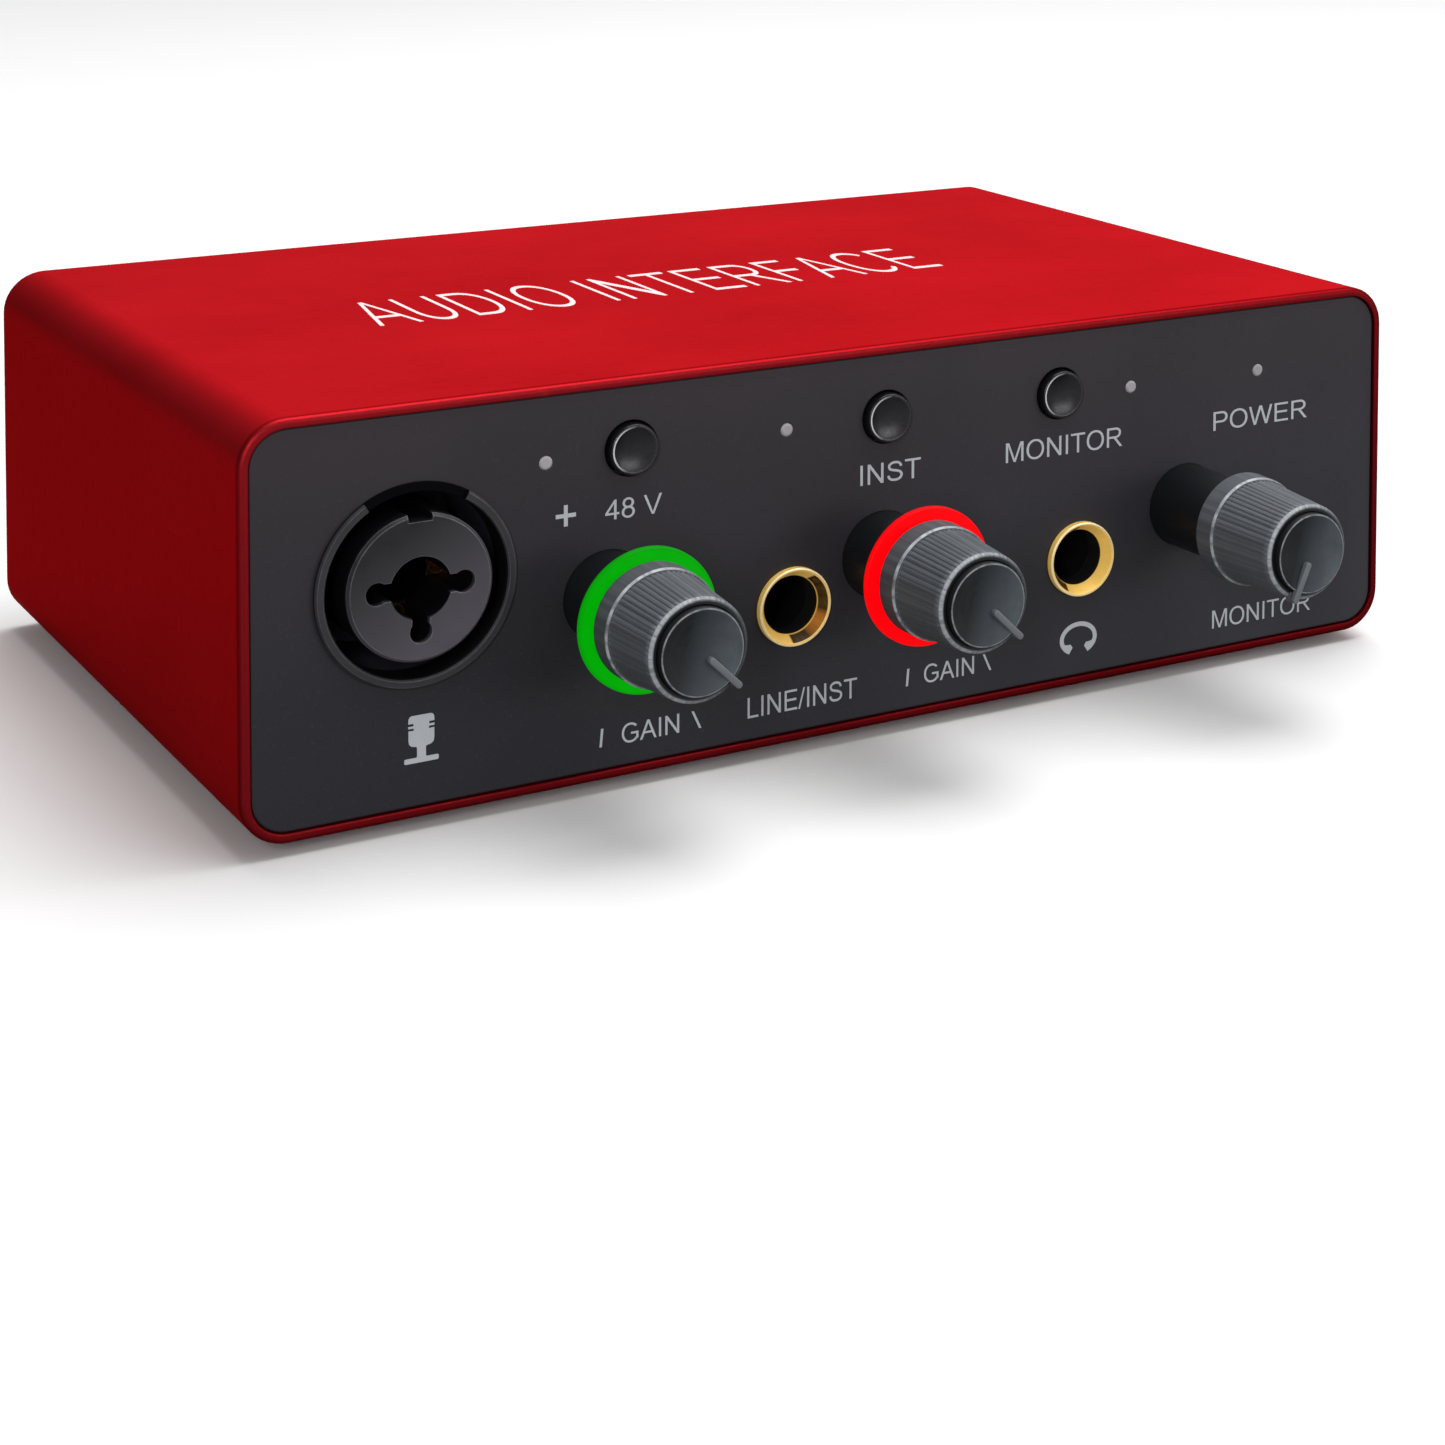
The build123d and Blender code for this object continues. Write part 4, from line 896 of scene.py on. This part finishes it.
# ------------------------------------------------------------------ printed labels
label("label_48v", "48 V", 42.4, 29.25, 6.55, 2.15)
label("label_inst", "INST", 73.7, 28.9, 7.75, 2.3)
label("label_monitor_button", "MONITOR", 96.9, 29.0, 16.1, 2.3)
label("label_power", "POWER", 125.2, 29.1, 14.1, 2.3)
label("label_gain_left", "GAIN", 44.35, 4.6, 6.7, 2.1)
label("label_gain_right", "GAIN", 81.45, 4.75, 6.6, 2.1)
label("label_line", "LINE/INST", 62.7, 4.75, 13.6, 2.3)
label("label_monitor_knob", "MONITOR", 125.7, 4.6, 14.85, 2.2)


def bar(name, x, z, w, h, lean):
    pts = [(x - w / 2 - lean / 2, z - h / 2), (x + w / 2 - lean / 2, z - h / 2), (x + w / 2 + lean / 2, z + h / 2), (x - w / 2 + lean / 2, z + h / 2)]
    return flat_shape(name, [pts], M["ink"])


for tag, xa, xb, z in (("left", 38.65, 49.75, 4.6), ("right", 76.0, 86.5, 4.75)):
    bar("scale_min_" + tag, xa, z, 0.28, 2.0, 0.18)
    bar("scale_max_" + tag, xb, z, 0.28, 2.0, -0.9)

px, pz, pl, pt = 34.65, 29.35, 1.14, 0.22
flat_shape("label_plus", [[(px - pt, pz - pl), (px + pt, pz - pl), (px + pt, pz - pt), (px + pl, pz - pt), (px + pl, pz + pt), (px + pt, pz + pt),
                           (px + pt, pz + pl), (px - pt, pz + pl), (px - pt, pz + pt), (px - pl, pz + pt), (px - pl, pz - pt), (px - pt, pz - pt)]], M["ink"])

# microphone symbol: one outline of a capsule with side slots, neck, stem and foot
mx, mz = 18.75, 5.75
half = [(0.0, 0.0), (1.74, 0.0), (1.84, 0.1), (1.84, 0.45), (1.74, 0.55), (0.54, 0.55), (0.48, 0.64), (0.48, 1.6), (0.6, 1.7), (1.08, 1.8), (1.3, 2.02), (1.38, 2.4), (1.38, 3.46),
        (0.82, 3.42), (0.82, 3.68), (1.4, 3.68), (1.4, 3.92), (0.84, 3.92), (0.84, 4.18), (1.4, 4.18), (1.37, 4.68), (1.24, 4.92), (1.0, 5.0), (0.0, 5.0)]
flat_shape("symbol_microphone", [[(mx + u, mz + v) for u, v in half] + [(mx - u, mz + v) for u, v in half[-2:0:-1]]], M["ink"])

# headphone symbol: one outline of a band with two ear pads turned in
hx, hz = 99.0, 5.6
band = [(hx + 2.58 * math.cos(math.radians(a)), hz - 0.1 + 2.0 * math.sin(math.radians(a))) for a in range(-60, 241, 5)]
pad = [(0.8, -1.1), (1.08, -0.7), (1.6, -0.68)]
hole = [(hx + 2.03 * math.cos(math.radians(a)), hz - 0.1 + 1.46 * math.sin(math.radians(a))) for a in range(202, -23, -5)]
flat_shape("symbol_headphones", [band + [(hx - u, hz + v) for u, v in pad] + hole + [(hx + u, hz + v) for u, v in pad[::-1]]], M["ink"])

# generic words on the top: x from the left side and y from the front rim, mm
TX0, TX1, TY0, TY1 = 28.6, 103.0, 40.0, 54.6
loops = [[(TX0 + u * (TX1 - TX0), TY0 + v * (TY1 - TY0)) for u, v in l] for l in outline_word("AUDIO INTERFACE", 0.66, 30)]
thicken(filled("top_lettering", loops), "top_lettering",
        lambda u, v, t: Vector((XL + u * MM, YF + v * MM, ZT - 0.01 * MM + t * 1.4)), INK_T, M["ink_top"], "chassis")


# ------------------------------------------------------------------ turned pieces built finer than the frame's
def box_of(node):
    a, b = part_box(node)
    return a, b, (a + b) / 2


def turned_piece(name, node, profile, material, seg=160, smooth=34):
    c = box_of(node)[2]
    v, f = lathe(profile, c.x, c.z, seg)
    o = new_mesh(name, v, f, material, BODY_OF[node], smooth)
    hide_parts(node)
    return o


# push-button caps: a finger dish inside a rounded rim
for tag in ("phantom", "inst", "monitor"):
    a, b, c = box_of(tag + "_button")
    y, R = a.y, 2.8 * MM
    prof = [(0.0, y + 0.42 * MM)]
    for i in range(1, 13):
        r = 2.3 * i / 12
        prof.append((r * MM, y + (0.42 - 0.34 * (r / 2.3) ** 2.4) * MM))
    prof += [(2.4 * MM, y + 0.035 * MM), (2.5 * MM, y + 0.005 * MM), (2.61 * MM, y + 0.02 * MM), (2.72 * MM, y + 0.09 * MM), (2.78 * MM, y + 0.2 * MM), (R, y + 0.36 * MM),
             (R, b.y - 3.66 * MM), (3.6 * MM, b.y - 3.65 * MM), (3.75 * MM, b.y - 3.6 * MM), (3.75 * MM, b.y - 3.2 * MM), (1.2 * MM, b.y - 3.2 * MM), (1.2 * MM, b.y - 0.1 * MM), (1.1 * MM, b.y), (0.0, b.y)]
    turned_piece(tag + "_button_cap", tag + "_button", prof, M[tag + "_button"], 128)

# knob faces: dished discs in the rim, with the raised pointer strip over them
for tag in ("gain_left", "gain_right", "monitor"):
    a, b, c = box_of(tag + "_knob_face")
    f0, R = a.y, 4.6 * MM
    prof = [(0.0, f0 + 0.4 * MM)]
    for i in range(1, 17):
        r = 4.25 * i / 16
        prof.append((r * MM, f0 + (0.4 - 0.38 * (r / 4.25) ** 2.3) * MM))
    prof += [(4.33 * MM, f0 + 0.002 * MM), (4.43 * MM, f0), (4.52 * MM, f0 + 0.035 * MM), (4.58 * MM, f0 + 0.1 * MM), (R, f0 + 0.18 * MM), (R, b.y), (0.0, b.y)]
    turned_piece(tag + "_face_dish", tag + "_knob_face", prof, M[tag + "_face"], 160)

    # pointer: a raised strip with rounded ends, its outer end turned down over the rim
    pa, pb, pc = box_of(tag + "_knob_pointer")
    kc = centre(tag + "_knob")
    d = Vector((pc.x - kc.x, 0, pc.z - kc.z)).normalized()
    n = Vector((d.z, 0, -d.x))
    mid = Vector((pc.x, 0, pc.z))
    L, hw = 4.9 * MM, 0.37 * MM

    def capsule(u0, u1, w):
        pts = [(u1 - w + w * math.cos(math.radians(t)), w * math.sin(math.radians(t))) for t in range(-90, 91, 15)]
        return pts + [(u0 + w - w * math.cos(math.radians(t)), w * math.sin(math.radians(t))) for t in range(90, -91, -15)]

    verts, faces = [], []
    rings = []
    for y, ins in ((pa.y + 0.74 * MM, 0.0), (pa.y + 0.14 * MM, 0.0), (pa.y + 0.06 * MM, 0.02 * MM), (pa.y + 0.015 * MM, 0.06 * MM), (pa.y, 0.13 * MM)):
        rings.append((y, capsule(-L / 2 + ins, L / 2 - ins, hw - ins)))
    m = len(rings[0][1])
    for y, outline in rings:
        for u, v in outline:
            p = mid + d * u + n * v
            verts.append((p.x, y, p.z))
    for q in range(len(rings) - 1):
        for i in range(m):
            j = (i + 1) % m
            faces.append((q * m + i, q * m + j, (q + 1) * m + j, (q + 1) * m + i))
    faces.append(tuple(range(m)))
    faces.append(tuple(reversed(range((len(rings) - 1) * m, len(rings) * m))))
    # foot over the rim: the outer end of the same capsule, deeper
    cap = [(L / 2 - hw + hw * math.cos(math.radians(t)), hw * math.sin(math.radians(t))) for t in range(-90, 91, 15)]
    foot = [(4.85 * MM - 3.45 * MM, hw), (4.85 * MM - 3.45 * MM, -hw)]
    outline = cap + [foot[0], foot[1]]
    base = len(verts)
    for y in (pb.y, pa.y + 0.5 * MM):
        for u, v in outline:
            p = mid + d * u + n * v
            verts.append((p.x, y, p.z))
    m2 = len(outline)
    for i in range(m2):
        j = (i + 1) % m2
        faces.append((base + i, base + j, base + m2 + j, base + m2 + i))
    faces.append(tuple(range(base, base + m2)))
    faces.append(tuple(reversed(range(base + m2, base + 2 * m2))))
    o = new_mesh(tag + "_pointer_strip", verts, faces, M["pointer"], BODY_OF[tag + "_knob_pointer"], 40)
    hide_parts(tag + "_knob_pointer")


# ------------------------------------------------------------------ stage, light, camera
def plane(name, x0, x1, y0, y1, z, material):
    me = bpy.data.meshes.new(name)
    me.from_pydata([(x0, y0, z), (x1, y0, z), (x1, y1, z), (x0, y1, z)], [], [(0, 1, 2, 3)])
    me.materials.append(material)
    o = bpy.data.objects.new(name, me)
    scene.collection.objects.link(o)
    return o


k = NT("floor_pale")
fl = k.noise(3, 3, 0.5)
fc = k.mix(k.remap(fl, 0.3, 0.7, 0, 1), (0.87, 0.87, 0.87), (0.89, 0.89, 0.89))
lpn = k.n("ShaderNodeLightPath")
fc = k.mix(lpn.outputs["Is Camera Ray"], (0.22, 0.22, 0.22), fc)      # keeps the bounce on the dark sides low
k.done(fc, 0.8, spec=0.1)
plane("floor", -6, 6, -6, 6, CAD_LO.z - 0.0002, k.m)


def area(name, loc, target, size, size_y, power, colour=(1, 1, 1), spread=180):
    li = bpy.data.lights.new(name, "AREA")
    li.shape = "RECTANGLE"
    li.size, li.size_y = size, size_y
    li.energy = power
    li.color = colour
    li.spread = math.radians(spread)
    o = bpy.data.objects.new(name, li)
    o.location = loc
    o.rotation_mode = "QUATERNION"
    o.rotation_quaternion = (Vector(target) - Vector(loc)).to_track_quat("-Z", "Y")
    scene.collection.objects.link(o)
    return o


area("key_top", (0.35, 0.1, 1.2), (0.0, 0.0, 0.03), 1.2, 1.2, 15.5)
area("front_soft", (0.62, -1.0, 0.2), (0.03, -0.03, 0.02), 0.7, 0.3, 2.6)
area("front_strip", (-0.55, -0.8, 0.34), (0.0, -0.06, 0.02), 0.09, 0.5, 3.4)

w = bpy.data.worlds.new("studio")
scene.world = w
w.use_nodes = True
t = w.node_tree
t.nodes.clear()
out = t.nodes.new("ShaderNodeOutputWorld")
mix = t.nodes.new("ShaderNodeMixShader")
lp = t.nodes.new("ShaderNodeLightPath")
amb = t.nodes.new("ShaderNodeBackground")
cam_bg = t.nodes.new("ShaderNodeBackground")
co = t.nodes.new("ShaderNodeTexCoord")
sep = t.nodes.new("ShaderNodeSeparateXYZ")
t.links.new(co.outputs["Generated"], sep.inputs[0])
up = t.nodes.new("ShaderNodeMapRange")
up.inputs["From Min"].default_value, up.inputs["From Max"].default_value = -0.1, 0.9
up.inputs["To Min"].default_value, up.inputs["To Max"].default_value = 0.07, 1.08
t.links.new(sep.outputs["Z"], up.inputs["Value"])
side = t.nodes.new("ShaderNodeMapRange")
side.inputs["From Min"].default_value, side.inputs["From Max"].default_value = -0.22, 0.25
side.inputs["To Min"].default_value, side.inputs["To Max"].default_value = 0.22, 1.0
t.links.new(sep.outputs["X"], side.inputs["Value"])
mul = t.nodes.new("ShaderNodeMath")
mul.operation = "MULTIPLY"
t.links.new(up.outputs[0], mul.inputs[0])
t.links.new(side.outputs[0], mul.inputs[1])
amb.inputs[0].default_value = (1, 1, 1, 1)
t.links.new(mul.outputs[0], amb.inputs[1])
cam_bg.inputs[0].default_value = (1, 1, 1, 1)
cam_bg.inputs[1].default_value = 1.0
t.links.new(lp.outputs["Is Camera Ray"], mix.inputs[0])
t.links.new(amb.outputs[0], mix.inputs[1])
t.links.new(cam_bg.outputs[0], mix.inputs[2])
t.links.new(mix.outputs[0], out.inputs[0])

# camera: photo viewpoint, a shifted lens 302 mm in front of the sleeve's front rim
R = Matrix(((0.8227077477602691, -0.568362876353208, 0.01075186303546477),
            (-0.025203585406895046, -0.05536451714945789, -0.9981480599206937),
            (0.5679055740683154, 0.8209131568103384, -0.059873599506141906)))
flip = Matrix(((1, 0, 0), (0, -1, 0), (0, 0, -1)))
cam = bpy.data.objects.new("camera", bpy.data.cameras.new("camera"))
scene.collection.objects.link(cam)
C = at(-91.45109696316268, 114.93238694854207, -301.38493730081086)
cam.matrix_world = Matrix.Translation(C) @ (flip @ R).transposed().to_4x4()
cam.data.sensor_width = 36.0
cam.data.lens = 3058.2845433800726 / 1445 * 36.0
cam.data.clip_start, cam.data.clip_end = 0.01, 50
SHIFT = (0.5 - 1212.9022211917772 / 1445, (-102.1419453793322 - 722.5) / 1445)
# the shift belongs to this viewpoint only: once the camera is moved elsewhere the lens is centred again
for prop, value in (("shift_x", SHIFT[0]), ("shift_y", SHIFT[1])):
    d = cam.data.driver_add(prop).driver
    d.type = "SCRIPTED"
    v = d.variables.new()
    v.name = "px"
    v.type = "TRANSFORMS"
    v.targets[0].id = cam
    v.targets[0].transform_type = "LOC_X"
    v.targets[0].transform_space = "WORLD_SPACE"
    d.expression = f"{value:.6f} if abs(px - ({C.x:.6f})) < 0.0001 else 0.0"
scene.camera = cam
